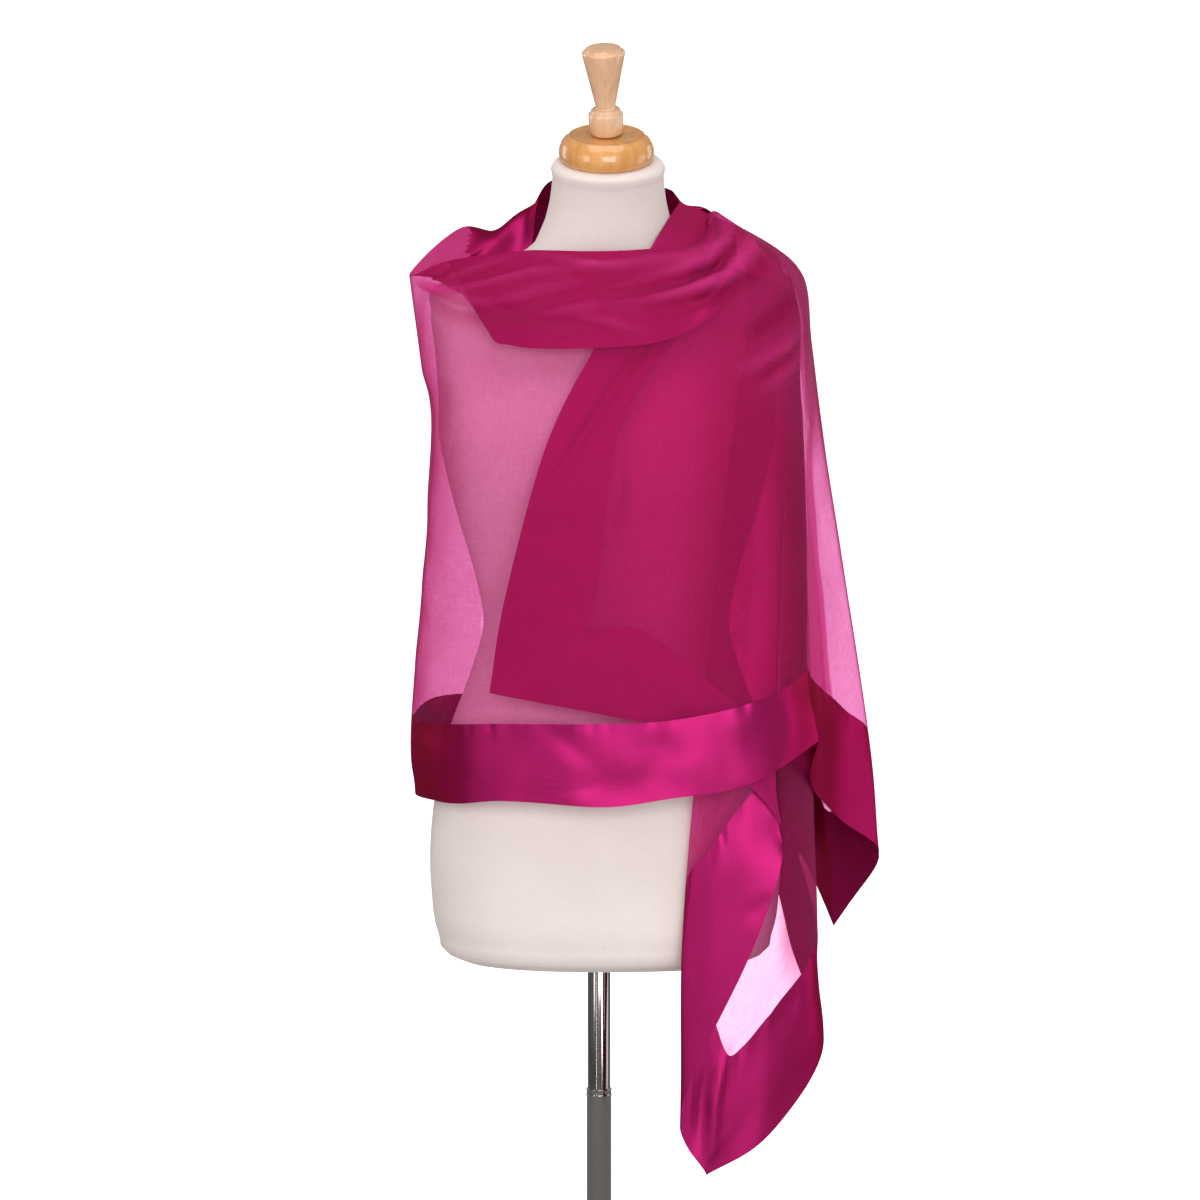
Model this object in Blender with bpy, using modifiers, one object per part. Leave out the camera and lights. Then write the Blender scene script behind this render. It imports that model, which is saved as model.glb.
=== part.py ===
# Evening stole wound round a limbless dress form on a pole.
#
# The stole is one rectangle of chiffon with a satin band round its four edges. It is modelled
# as a chain of fall lines that runs from the first end, over the shoulder, round the back,
# across the chest and over the shoulder again to the second end. Each fall line goes from the
# upper long edge down to the lower one. Frame: +X to the wearer's left, -Y to the front, +Z up,
# origin under the middle of the base. Tables are in millimetres.

import math

import bpy
import bmesh
from mathutils import Matrix, Vector

MM = 0.001

# Cloth
CHIFFON_WALL = 1.0
SATIN_WALL = 1.2
SEAM_GAP = 0.4
FOLD_RADIUS = 3.5
RAIL_STEPS = (0.0, 0.25, 0.5, 0.75)
TURN_STEPS = (0.1, 0.04)
CORNER_STEPS = (0.12,)
FALL_STEPS = 3
BAND_STEPS = 2

# Stand
BASE_RADIUS = 170.0
BASE_HEIGHT = 14.0
BASE_EDGE = 4.0
SOCKET_RADIUS = 21.0
SOCKET_HEIGHT = 40.0
SOCKET_FLOOR = 6.0
OUTER_TUBE_RADIUS = 12.5
INNER_TUBE_RADIUS = 11.4
TUBE_CLEARANCE = 0.05
OUTER_TUBE_TOP = 535.0
INNER_TUBE_FOOT = 200.0
TOUCH_GAP = 0.3
ROUND_STEPS = 40

# Form. Its middle and the cloth lie a little to one side of the pole.
FORM_SHIFT = Vector((6.0, 0.0, 0.0))
FORM_BOTTOM = 668.0
FORM_RINGS = 30
RING_GAP = 10.0
NECK_FOOT = 1407.0
FORM_STEPS = 40
NECK_TILT = math.radians(19.0)
NECK_TOP = Vector((3.0, -20.0, 1467.0))
CAP_SHIFT = Vector((-1.5, 0.0, 0.0))
CAP_SEAT = 0.5
KNOB_LEAN = math.radians(-2.3)

COLOURS = {
    "chiffon": ((0.45, 0.02, 0.16, 1.0), 0.7, 0.0),
    "satin": ((0.38, 0.01, 0.12, 1.0), 0.35, 0.0),
    "jersey": ((0.82, 0.74, 0.70, 1.0), 0.9, 0.0),
    "wood": ((0.72, 0.38, 0.17, 1.0), 0.25, 0.0),
    "chrome": ((0.55, 0.54, 0.54, 1.0), 0.2, 1.0),
}

# Torso sections: height, half width, depth in front, depth behind, squareness, lean of the ring
FORM_SECTIONS = (
    (668, 142, -82, 86, 2.3, 0),
    (675, 158, -98, 102, 2.3, 0),
    (695, 168, -108, 114, 2.3, 0),
    (740, 175, -112, 117, 2.3, 0),
    (830, 172, -108, 114, 2.3, 0),
    (900, 157, -98, 104, 2.3, 0),
    (960, 135, -90, 90, 2.3, 0),
    (1005, 123, -86, 80, 2.3, 0),
    (1060, 132, -90, 84, 2.3, 0),
    (1110, 147, -99, 94, 2.3, 0),
    (1160, 160, -110, 102, 2.3, 0),
    (1190, 166.5, -112, 106, 2.3, 0),
    (1235, 168, -98, 110, 2.3, 0),
    (1280, 172, -78, 108, 2.3, 0),
    (1320, 176, -64, 98, 2.3, 0),
    (1342, 172.4, -56, 84, 2.3, 0),
    (1354, 146, -52, 74, 2.2, 0),
    (1366, 112, -50, 66, 2.1, 0),
    (1380, 80, -50, 58, 2.0, 4),
    (1400, 66.3, -52, 48, 2.0, 8),
    (1425, 58.2, -56, 38, 2.0, 13),
    (1450, 55, -64, 30, 2.0, 17),
    (1464, 54, -70, 29, 2.0, 19),
    (1467, 50, -66, 25, 2.0, 19),
)

# Fall lines. A turn is a fold line where the cloth doubles back, 1 to behind and -1 to the
# front, and CORNER is a softer bend.
# The rim is the free edge of the top band where it is not a fall line itself.
NO_RIM = None
CORNER = 2
FALLS = (
    # name, turn, rim, top, shoulder, yoke, chest, seam, hem
    # First end: the inner wrap, then the tail that hangs by its corner
    ("lead", 0, NO_RIM, (74, 14, 1426), (46, -60, 1384), (6, -94, 1295), (-44, -124, 1197),
     (-98, -113, 1040), (-113, -110, 949)),
    ("lead_seam", 0, NO_RIM, (128, 8, 1404), (130, -62, 1350), (62, -92, 1286),
     (11, -124, 1197), (-15, -127, 1019), (-90, -114, 945)),
    ("inner_a", 0, NO_RIM, (142, 4, 1394), (148, -60, 1348), (100, -88, 1285),
     (58, -122, 1192), (34, -131, 1018), (14, -132, 927)),
    ("inner_b", 0, NO_RIM, (156, 2, 1385), (166, -52, 1342), (142, -80, 1280),
     (112, -114, 1188), (88, -132, 978), (84, -134, 909)),
    ("inner_turn", 1, NO_RIM, (172, 2, 1370), (180, -40, 1334), (180, -60, 1272),
     (176, -84, 1180), (166, -118, 893), (172, -122, 815)),
    ("near_a", 0, NO_RIM, (161, 5, 1374), (169, -40, 1334), (158, -66, 1274),
     (150, -90, 1178), (128, -122, 842), (171, -126, 778)),
    ("near_b", 0, NO_RIM, (150, 7, 1378), (158, -44, 1336), (146, -66, 1275),
     (134, -96, 1174), (102, -120, 803), (142, -129, 694)),
    ("tail_turn", 1, NO_RIM, (136, 10, 1380), (142, -46, 1338), (136, -64, 1270),
     (121, -92, 1172), (79, -112, 762), (74, -113, 530)),
    ("corner", 0, NO_RIM, (150, 13, 1371), (158, -34, 1332), (150, -54, 1266),
     (138, -80, 1170), (121, -102, 589), (100, -106, 470)),
    ("far", 0, NO_RIM, (168, 15, 1361), (177.4, -19.6, 1325.6), (174, -36, 1258),
     (172, -56, 1164), (166, -86, 640), (160, -90, 504)),
    ("side", CORNER, NO_RIM, (185, 18, 1350), (194, 6, 1312), (194, 2, 1240),
     (199, 0, 1150), (211, -46, 698), (219, -38, 586)),
    # The back, from the image-right side to the image-left fold
    ("side_back", 0, NO_RIM, (176, 30, 1360), (190, 44, 1312), (190, 60, 1240),
     (194, 64, 1150), (200, 34, 760), (190, 28, 668)),
    ("back_a", 0, (74, 15, 1426), (128, 9, 1404), (158, 76, 1345), (160, 98, 1262),
     (164, 106, 1165), (166, 108, 880), (161, 112, 786)),
    ("back_b", 0, (62, 46, 1440), (100, 72, 1384), (112, 104, 1326), (114, 122, 1250),
     (114, 130, 1160), (110, 138, 917), (108, 140, 830)),
    ("back_c", 0, (2, 66, 1452), (2, 100, 1376), (2, 122, 1316), (2, 134, 1240),
     (2, 138, 1160), (0, 146, 925), (0, 148, 838)),
    ("back_d", 0, (-60, 42, 1443), (-96, 74, 1386), (-114, 100, 1328), (-120, 116, 1250),
     (-122, 124, 1160), (-124, 132, 926), (-124, 134, 838)),
    ("back_e", 0, (-88, 22, 1399), (-144, 26, 1403), (-172, 50, 1344), (-178, 60, 1262),
     (-174, 66, 1180), (-182, 74, 926), (-182, 76, 838)),
    # The image-left fold, then the outer wrap across the chest
    ("left_turn", -1, (-134, -14, 1392), (-194, -8, 1354), (-190, -2, 1320), (-182, 0, 1262),
     (-170, 2, 1190), (-194, -2, 914), (-190, -2, 834)),
    ("front_a", 0, (-128, -72, 1318), (-160, -42, 1367), (-156, -66, 1332), (-150, -84, 1265),
     (-142, -98, 1187), (-150, -98, 922), (-150, -96, 838)),
    ("front_b", 0, (-106, -88, 1290), (-114, -67, 1375), (-112, -92, 1336), (-108, -112, 1265),
     (-104, -126, 1188), (-108, -128, 926), (-106, -130, 846)),
    ("front_c", 0, (-60, -102, 1284), (-58, -80, 1379), (-58, -108, 1336), (-57, -128, 1265),
     (-56, -142, 1186), (-58, -148, 928), (-58, -150, 846)),
    ("front_d", 0, (0, -106, 1285), (2, -86, 1378), (2, -114, 1335), (3, -134, 1265),
     (4, -146, 1186), (4, -154, 929), (6, -156, 843)),
    ("front_e", 0, (54, -102, 1291), (56, -78, 1381), (60, -106, 1338), (63, -128, 1265),
     (66, -142, 1186), (66, -151, 932), (66, -153, 852)),
    ("front_f", 0, (100, -96, 1312), (92, -64, 1387), (106, -96, 1342), (116, -116, 1268),
     (124, -132, 1188), (128, -144, 944), (128, -147, 860)),
    ("front_g", 0, (128, -78, 1345), (104, -40, 1405), (150, -76, 1352), (162, -96, 1272),
     (168, -108, 1188), (172, -127, 958), (174, -129, 880)),
    ("front_turn", CORNER, NO_RIM, (105, -18, 1417), (185, -46, 1352), (197, -54, 1272),
     (197, -66, 1180), (199, -80, 972), (209, -84, 898)),
    # Second end, falling behind the image-right shoulder
    ("rear_a", 0, NO_RIM, (106, -4, 1421), (190, -4, 1364), (204, -2, 1290),
     (208, -6, 1180), (216, -22, 962), (216, -22, 846)),
    ("rear_b", 0, NO_RIM, (107, 14, 1421), (191, 18, 1366), (205, 24, 1300),
     (218, 28, 1180), (242, 26, 922), (244, 26, 800)),
    ("rear_turn", 1, NO_RIM, (108, 32, 1418), (188, 38, 1366), (204, 44, 1304),
     (222, 54, 1180), (268, 60, 890), (280, 62, 764)),
    ("rear_corner", CORNER, NO_RIM, (108, 48, 1412), (178, 58, 1364), (192, 72, 1300),
     (205, 92, 1180), (232, 108, 800), (237, 114, 680)),
    ("rear_c", CORNER, NO_RIM, (108, 60, 1404), (160, 78, 1361), (172, 102, 1300),
     (182, 128, 1180), (204, 160, 850), (205, 168, 748)),
    ("rear_d", CORNER, NO_RIM, (107, 70, 1396), (142, 92, 1356), (150, 118, 1296),
     (156, 134, 1176), (164, 138, 880), (165, 140, 792)),
    ("rear_e", CORNER, NO_RIM, (106, 78, 1391), (126, 102, 1350), (128, 130, 1290),
     (128, 150, 1176), (128, 176, 905), (128, 180, 817)),
    ("rear_f", 0, NO_RIM, (104, 84, 1387), (110, 108, 1346), (106, 134, 1286),
     (98, 146, 1175), (92, 154, 915), (90, 154, 828)),
    ("rear_seam", 0, NO_RIM, (100, 88, 1384), (94, 112, 1344), (82, 138, 1282),
     (66, 154, 1175), (54, 180, 925), (52, 182, 840)),
    ("rear_edge", 0, NO_RIM, (80, 92, 1384), (60, 118, 1342), (30, 142, 1280),
     (-8, 154, 1175), (-46, 162, 990), (-60, 164, 886)),
)

RIM, TOP, SHOULDER, YOKE, CHEST, SEAM, HEM = range(7)
EXTRA_STEPS = {0: (), 1: TURN_STEPS, -1: TURN_STEPS, CORNER: CORNER_STEPS}

# How far the top band's edge lies from the chiffon's fold, where the two meet at an angle
FLAP_INSETS = {
    "back_d": Vector((0.4, -0.4, 0.4)),
    "back_e": Vector((1.2, -0.8, 0.8)),
    "left_turn": Vector((4, 0, -1.5)),
}
FLAP_INSETS.update({"front_" + letter: Vector((0, 4, -1.5)) for letter in "abcdefg"})

# Node, material, first fall, last fall, upper column, lower column
CLOTH_NODES = (
    ("inner_lead_band", "satin", "lead", "lead_seam", TOP, HEM),
    ("inner_chiffon", "chiffon", "lead_seam", "inner_turn", TOP, SEAM),
    ("inner_end_band", "satin", "lead_seam", "inner_turn", SEAM, HEM),
    ("tail_near_chiffon", "chiffon", "inner_turn", "tail_turn", TOP, SEAM),
    ("tail_near_band", "satin", "inner_turn", "tail_turn", SEAM, HEM),
    ("tail_far_chiffon", "chiffon", "tail_turn", "side", TOP, SEAM),
    ("tail_far_end_band", "satin", "tail_turn", "corner", SEAM, HEM),
    ("tail_far_hem_band", "satin", "corner", "side", SEAM, HEM),
    ("back_chiffon", "chiffon", "side", "left_turn", TOP, SEAM),
    ("back_hem_band", "satin", "side", "left_turn", SEAM, HEM),
    ("back_top_band", "satin", "back_a", "left_turn", RIM, TOP),
    ("front_chiffon", "chiffon", "left_turn", "front_turn", TOP, SEAM),
    ("front_hem_band", "satin", "left_turn", "front_turn", SEAM, HEM),
    ("front_top_band", "satin", "left_turn", "front_g", RIM, TOP),
    ("rear_chiffon", "chiffon", "front_turn", "rear_seam", TOP, SEAM),
    ("rear_hem_band", "satin", "front_turn", "rear_corner", SEAM, HEM),
    ("rear_end_band", "satin", "rear_corner", "rear_seam", SEAM, HEM),
    ("rear_top_band", "satin", "rear_seam", "rear_edge", TOP, HEM),
)

# Turned wood, from the axis outwards: radius and height above the neck
CAP_PROFILE = (
    (0, 26), (34, 26), (37.5, 25), (42, 22), (46, 17), (47.5, 10), (46, 4), (43, 0), (0, 0),
)
KNOB_PROFILE = (
    (0, 88), (12, 87.5), (18, 86), (20.5, 83), (20.3, 79), (16.4, 60), (12.8, 45), (10.3, 34),
    (10, 30), (12, 27), (15.5, 23), (17, 16), (17, 9), (16.5, 3), (15.5, 0), (0, 0),
)


# Clear the scene
for old in list(bpy.data.objects):
    bpy.data.objects.remove(old, do_unlink=True)
part_collection = bpy.data.collections.new("evening_stole")
bpy.context.scene.collection.children.link(part_collection)


def make_material(name, slot):
    colour, roughness, metallic = COLOURS[slot]
    material = bpy.data.materials.new(name)
    material.use_nodes = True
    shader = material.node_tree.nodes["Principled BSDF"]
    shader.inputs["Base Color"].default_value = colour
    shader.inputs["Roughness"].default_value = roughness
    shader.inputs["Metallic"].default_value = metallic
    material.diffuse_color = colour
    return material


def add_object(name, slot, bm):
    mesh = bpy.data.meshes.new(name)
    bm.to_mesh(mesh)
    bm.free()
    mesh.materials.append(make_material(name, slot))
    mesh.shade_smooth()
    obj = bpy.data.objects.new(name, mesh)
    part_collection.objects.link(obj)
    return obj


def hermite(p0, t0, p1, t1, t):
    a = 2 * t ** 3 - 3 * t ** 2 + 1
    b = t ** 3 - 2 * t ** 2 + t
    c = -2 * t ** 3 + 3 * t ** 2
    d = t ** 3 - t ** 2
    return p0 * a + t0 * b + p1 * c + t1 * d


def smooth_tangents(points):
    # Catmull-Rom tangents
    tangents = []
    for i in range(len(points)):
        inner = 0 < i < len(points) - 1
        step = points[min(i + 1, len(points) - 1)] - points[max(i - 1, 0)]
        tangents.append(step * (0.5 if inner else 1.0))
    return tangents


def turn_tangent(before, point, after, along, side):
    # The cloth runs straight across its fold line at a turn, on the fold's radius
    inward = (before - point).normalized() + (after - point).normalized()
    inward -= along * inward.dot(along)
    inward.normalize()
    across = inward.cross(along)
    if across.y * side < 0:
        across.negate()
    leg = (abs((before - point).dot(inward)) + abs((after - point).dot(inward))) / 2
    slip = along * ((after - before).dot(along) / 2)
    return across * math.sqrt(6 * FOLD_RADIUS * leg) + slip


def band_top(row):
    # Edge of the top band along the chiffon, just inside the fold of the neckline
    return Vector(row[TOP + 2]) + FLAP_INSETS.get(row[0], Vector())


def rim_point(row, first, last):
    # Free edge of the top band. A fall line beyond the band's end repeats its end's width.
    if row[2]:
        return Vector(row[2])
    end = first if FALLS.index(row) < FALLS.index(first) else last
    return Vector(end[2]) + band_top(row) - band_top(end)


def fall_point(row, column):
    # A point on one fall line below its top: column may lie between two named columns
    points = [Vector(p) for p in row[TOP + 2:]]
    tangents = smooth_tangents(points)
    place = column - TOP
    i = min(int(place), len(points) - 2)
    return hermite(points[i], tangents[i], points[i + 1], tangents[i + 1], place - i)


def rail_places(first, last):
    # Places along the chain, closer together beside each turn
    places = []
    for i in range(first, last):
        steps = set(RAIL_STEPS) | set(EXTRA_STEPS[FALLS[i][1]])
        steps.update(1 - s for s in EXTRA_STEPS[FALLS[i + 1][1]])
        places += [i + s for s in sorted(steps)]
    return places + [float(last)]


def column_places(upper, lower):
    places = []
    for column in range(upper, lower):
        steps = BAND_STEPS if column in (RIM, SEAM) else FALL_STEPS
        places += [column + k / steps for k in range(steps)]
    return places + [lower]


def chain_row(points, alongs, start, places, last):
    # One row across the cloth at a fixed column, smooth from fall line to fall line
    tangents = smooth_tangents(points)
    for k in range(1, len(points) - 1):
        side = FALLS[start + k][1]
        if side in (1, -1):
            tangents[k] = turn_tangent(points[k - 1], points[k], points[k + 1], alongs[k], side)
    row = []
    for place in places:
        i = min(int(place), last - 1)
        k = i - start
        row.append(hermite(points[k], tangents[k], points[k + 1], tangents[k + 1], place - i))
    return row


def cloth_grid(first, last, upper, lower):
    # Rows of points, one row for each column place, from the fall lines and their neighbours
    names = [row[0] for row in FALLS]
    low = names.index(first)
    high = names.index(last)
    places = rail_places(low, high)
    start = max(low - 1, 0)
    end = min(high + 1, len(FALLS) - 1)
    falls = FALLS[start:end + 1]
    rows = []
    for column in column_places(upper, lower):
        if upper == RIM:
            tops = [band_top(row) for row in falls]
            rims = [rim_point(row, FALLS[low], FALLS[high]) for row in falls]
            points = [rim.lerp(top, column) for rim, top in zip(rims, tops)]
            alongs = [(top - rim).normalized() for rim, top in zip(rims, tops)]
        else:
            points = [fall_point(row, column) for row in falls]
            nudge = 0.1 if column < HEM else -0.1
            ahead = [fall_point(row, column + nudge) for row in falls]
            alongs = [((b - a) * nudge).normalized() for a, b in zip(points, ahead)]
        rows.append(chain_row(points, alongs, start, places, high))
    return rows


def pull_in(rows):
    # Leaves half a seam gap along all four sides, square to each side
    tall = len(rows) - 1
    wide = len(rows[0]) - 1
    moved = [[point.copy() for point in row] for row in rows]

    def move(i, j, inner, before, after):
        along = (after - before).normalized()
        away = inner - rows[i][j]
        away -= along * away.dot(along)
        moved[i][j] += away.normalized() * (SEAM_GAP / 2)

    for i in range(tall + 1):
        low, high = rows[max(i - 1, 0)], rows[min(i + 1, tall)]
        move(i, 0, rows[i][1], low[0], high[0])
        move(i, wide, rows[i][wide - 1], low[wide], high[wide])
    for j in range(wide + 1):
        low, high = max(j - 1, 0), min(j + 1, wide)
        move(0, j, rows[1][j], rows[0][low], rows[0][high])
        move(tall, j, rows[tall - 1][j], rows[tall][low], rows[tall][high])
    return moved


def make_cloth(name, slot, first, last, upper, lower):
    rows = pull_in(cloth_grid(first, last, upper, lower))
    wide = len(rows[0]) - 1
    tall = len(rows) - 1
    bm = bmesh.new()
    bmesh.ops.create_grid(bm, x_segments=wide, y_segments=tall, size=0.5)
    for vert in bm.verts:
        j = round((vert.co.x + 0.5) * wide)
        i = round((vert.co.y + 0.5) * tall)
        vert.co = (rows[i][j] + FORM_SHIFT) * MM
    obj = add_object(name, slot, bm)
    wall = obj.modifiers.new("wall", "SOLIDIFY")
    wall.thickness = (SATIN_WALL if slot == "satin" else CHIFFON_WALL) * MM
    wall.offset = 0.0
    return obj


def section_at(height):
    # The torso's section at one height, smoothed between the named ones
    rows = [Vector(row[1:4]) for row in FORM_SECTIONS]
    shapes = [row[4] for row in FORM_SECTIONS]
    leans = [row[5] for row in FORM_SECTIONS]
    heights = [row[0] for row in FORM_SECTIONS]
    i = 0
    while i < len(rows) - 2 and heights[i + 1] < height:
        i += 1
    span = heights[i + 1] - heights[i]
    t = (height - heights[i]) / span
    tangents = []
    for k in (i, i + 1):
        before = max(k - 1, 0)
        after = min(k + 1, len(rows) - 1)
        tangents.append((rows[after] - rows[before]) * (span / (heights[after] - heights[before])))
    size = hermite(rows[i], tangents[0], rows[i + 1], tangents[1], t)
    shape = shapes[i] * (1 - t) + shapes[i + 1] * t
    lean = leans[i] * (1 - t) + leans[i + 1] * t
    return size, shape, math.radians(lean)


def form_ring(height):
    (half_width, front, back), shape, lean = section_at(height)
    middle = (front + back) / 2
    half_depth = (back - front) / 2
    side_shift = NECK_TOP.x * max(0.0, (height - FORM_BOTTOM) / (NECK_TOP.z - FORM_BOTTOM))
    points = []
    for k in range(FORM_STEPS):
        angle = 2 * math.pi * k / FORM_STEPS
        c, s = math.cos(angle), math.sin(angle)
        x = half_width * math.copysign(abs(c) ** (2 / shape), c)
        y = half_depth * math.copysign(abs(s) ** (2 / shape), s)
        points.append(Vector((x + side_shift, middle + y * math.cos(lean), height + y * math.sin(lean))))
    return points


def make_form():
    # The named sections, and rings between them where they lie far apart
    named = {row[0] for row in FORM_SECTIONS}
    step = (NECK_FOOT - FORM_BOTTOM) / FORM_RINGS
    kept = []
    for height in sorted(named | {FORM_BOTTOM + step * k for k in range(2, FORM_RINGS)}):
        if height in named or height - kept[-1] > RING_GAP:
            kept.append(height)
    bm = bmesh.new()
    loops = [[bm.verts.new((p + FORM_SHIFT) * MM) for p in form_ring(h)] for h in kept]
    for low, high in zip(loops, loops[1:]):
        for k in range(FORM_STEPS):
            n = (k + 1) % FORM_STEPS
            bm.faces.new((low[k], low[n], high[n], high[k]))
    bm.faces.new(reversed(loops[0]))
    bm.faces.new(loops[-1])
    return add_object("form_body", "jersey", bm)


def make_turned(name, slot, profile, place=None):
    bm = bmesh.new()
    verts = [bm.verts.new((r * MM, 0, z * MM)) for r, z in profile]
    for a, b in zip(verts, verts[1:]):
        bm.edges.new((a, b))
    if profile[0][0] > 0:
        bm.edges.new((verts[-1], verts[0]))
    obj = add_object(name, slot, bm)
    spin = obj.modifiers.new("turning", "SCREW")
    spin.steps = ROUND_STEPS
    spin.render_steps = ROUND_STEPS
    spin.use_merge_vertices = True
    spin.merge_threshold = 0.00001
    if place is not None:
        obj.matrix_world = place
    return obj


def make_stand():
    # A domed disc with a socket, the fixed outer tube in it and the sliding inner tube
    boss = BASE_HEIGHT + SOCKET_HEIGHT
    socket = OUTER_TUBE_RADIUS + TOUCH_GAP
    make_turned("base", "chrome", (
        (0, SOCKET_FLOOR), (socket, SOCKET_FLOOR), (socket, boss), (SOCKET_RADIUS - 2, boss),
        (SOCKET_RADIUS, boss - 2), (SOCKET_RADIUS, BASE_HEIGHT + 6), (SOCKET_RADIUS + 6, BASE_HEIGHT),
        (BASE_RADIUS - BASE_EDGE, BASE_HEIGHT - BASE_EDGE / 2), (BASE_RADIUS, BASE_HEIGHT - 2 * BASE_EDGE),
        (BASE_RADIUS, 2), (BASE_RADIUS - 2, 0), (0, 0)))
    bore = INNER_TUBE_RADIUS + TUBE_CLEARANCE
    foot = SOCKET_FLOOR + TOUCH_GAP
    make_turned("pole_lower", "chrome", (
        (bore, OUTER_TUBE_TOP), (OUTER_TUBE_RADIUS, OUTER_TUBE_TOP), (OUTER_TUBE_RADIUS, foot),
        (bore, foot)))
    head = FORM_BOTTOM - TOUCH_GAP
    make_turned("pole_upper", "chrome", (
        (0, head), (INNER_TUBE_RADIUS, head), (INNER_TUBE_RADIUS, INNER_TUBE_FOOT), (0, INNER_TUBE_FOOT)))


def make_neck_wood():
    lean = Matrix.Rotation(NECK_TILT, 4, "X")
    up = lean @ Vector((0, 0, 1))
    seat = NECK_TOP + FORM_SHIFT + CAP_SHIFT + up * CAP_SEAT
    cap_place = Matrix.Translation(seat * MM) @ lean
    make_turned("neck_cap", "wood", CAP_PROFILE, cap_place)
    knob_gap = TOUCH_GAP + KNOB_PROFILE[-2][0] * math.tan(abs(KNOB_LEAN))
    knob_seat = seat + up * (CAP_PROFILE[0][1] + knob_gap)
    knob_lean = Matrix.Rotation(KNOB_LEAN, 4, "Y") @ lean
    make_turned("neck_knob", "wood", KNOB_PROFILE, Matrix.Translation(knob_seat * MM) @ knob_lean)


make_stand()
make_form()
make_neck_wood()
for node in CLOTH_NODES:
    make_cloth(*node)
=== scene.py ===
# Evening stole on a limbless dress form: the cloth, jersey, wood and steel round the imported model.
import math

import bpy
import bmesh
import numpy as np
from mathutils import Matrix, Vector, noise


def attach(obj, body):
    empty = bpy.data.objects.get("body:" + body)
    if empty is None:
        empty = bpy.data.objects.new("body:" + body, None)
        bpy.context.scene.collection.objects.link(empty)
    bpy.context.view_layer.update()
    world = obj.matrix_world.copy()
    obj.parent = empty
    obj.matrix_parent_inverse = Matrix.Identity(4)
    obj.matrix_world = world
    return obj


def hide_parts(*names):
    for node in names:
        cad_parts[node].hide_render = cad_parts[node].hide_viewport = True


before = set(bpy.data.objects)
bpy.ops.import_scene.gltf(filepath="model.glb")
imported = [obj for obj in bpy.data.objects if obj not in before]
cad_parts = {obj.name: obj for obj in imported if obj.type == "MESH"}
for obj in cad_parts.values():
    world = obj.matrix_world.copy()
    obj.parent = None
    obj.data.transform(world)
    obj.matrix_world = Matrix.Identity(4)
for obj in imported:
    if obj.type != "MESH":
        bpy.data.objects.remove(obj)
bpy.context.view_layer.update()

mm = 0.001
formShift = Vector((6.0, 0.0, 0.0))  # form and cloth lie this far to one side of the pole


def linear(hexColour):
    # sRGB hex to linear light
    values = [int(hexColour[i:i + 2], 16) / 255 for i in (1, 3, 5)]
    return tuple(v / 12.92 if v <= 0.04045 else ((v + 0.055) / 1.055) ** 2.4 for v in values) + (1.0,)


def setInputs(tree, node, inputs):
    # an input is set to a value, or linked to another node's output
    for key, value in inputs.items():
        if isinstance(value, bpy.types.NodeSocket):
            tree.links.new(value, node.inputs[key])
        else:
            node.inputs[key].default_value = value


def addNode(tree, kind, settings=None, inputs=None):
    node = tree.nodes.new("ShaderNode" + kind)
    for key, value in (settings or {}).items():
        setattr(node, key, value)
    setInputs(tree, node, inputs or {})
    return node


def newMaterial(name):
    material = bpy.data.materials.new(name)
    material.use_nodes = True
    return material, material.node_tree, material.node_tree.nodes["Principled BSDF"]


def addObject(name, data):
    obj = bpy.data.objects.new(name, data)
    bpy.context.scene.collection.objects.link(obj)
    return obj


def aimAt(obj, place, target):
    obj.location = place
    obj.rotation_euler = (Vector(target) - Vector(place)).to_track_quat("-Z", "Y").to_euler()


# Camera and room
room = {
    "cameraPlace": (0.001, -4.0, 1.4),
    "cameraTarget": (0.001, 0.0, 1.03),
    "lens": 120.51,
    "sensor": 36.0,
    "ambient": (0.62, 0.60, 0.59, 1),
    "ambientStrength": 0.49,
    "backdrop": (1, 1, 1, 1),
    "backdropStrength": 1.35,  # over white, as in a bright studio
    "seeThroughDepth": 32,  # layers of chiffon that a ray may pass
    "floorSize": 14.0,
    "floorCard": (0.6, 0.6, 0.6, 1),  # matt white card, lifted to the backdrop's white
    "floorRoughness": 0.9,
    "floorGlow": 1.15,
    "floorBounce": (0.5, 0.5, 0.5, 1),  # what the card sends up to the cloth
    # name, place, aim, width and height in metres, watts
    "lights": (
        ("key", (0.5, -4.4, 1.75), (0.0, 0.0, 0.95), (2.4, 2.0), 103),
        ("fill", (-2.4, -2.2, 1.5), (0.0, 0.0, 1.0), (0.9, 1.8), 22),
        ("top", (0.0, -0.9, 3.6), (0.0, 0.0, 1.2), (2.4, 1.6), 34),
        ("backLeft", (-2.6, 1.6, 1.9), (0.0, 0.0, 1.2), (0.9, 1.8), 14),
        ("right", (3.0, 0.2, 1.0), (0.1, 0.0, 0.9), (1.3, 1.8), 14),
        ("stripLeft", (-1.5, -3.2, 0.45), (0.0, 0.0, 0.45), (0.12, 0.8), 2.5),
        ("stripRight", (2.4, -1.7, 0.45), (0.0, 0.0, 0.45), (0.16, 0.8), 1.5),
        ("backRight", (2.6, 1.8, 1.9), (0.0, 0.0, 1.2), (0.9, 1.8), 10),
        ("behind", (0.4, 4.3, 1.7), (0.0, 0.0, 1.0), (2.2, 1.8), 18),
    ),
    # a narrow light low down on the hanging corner
    "snoot": {"place": (1.5, -2.3, 0.6), "aim": (0.17, -0.08, 0.54), "watts": 52, "radius": 0.3,
              "degrees": 15, "blend": 1.0},
}


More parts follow.
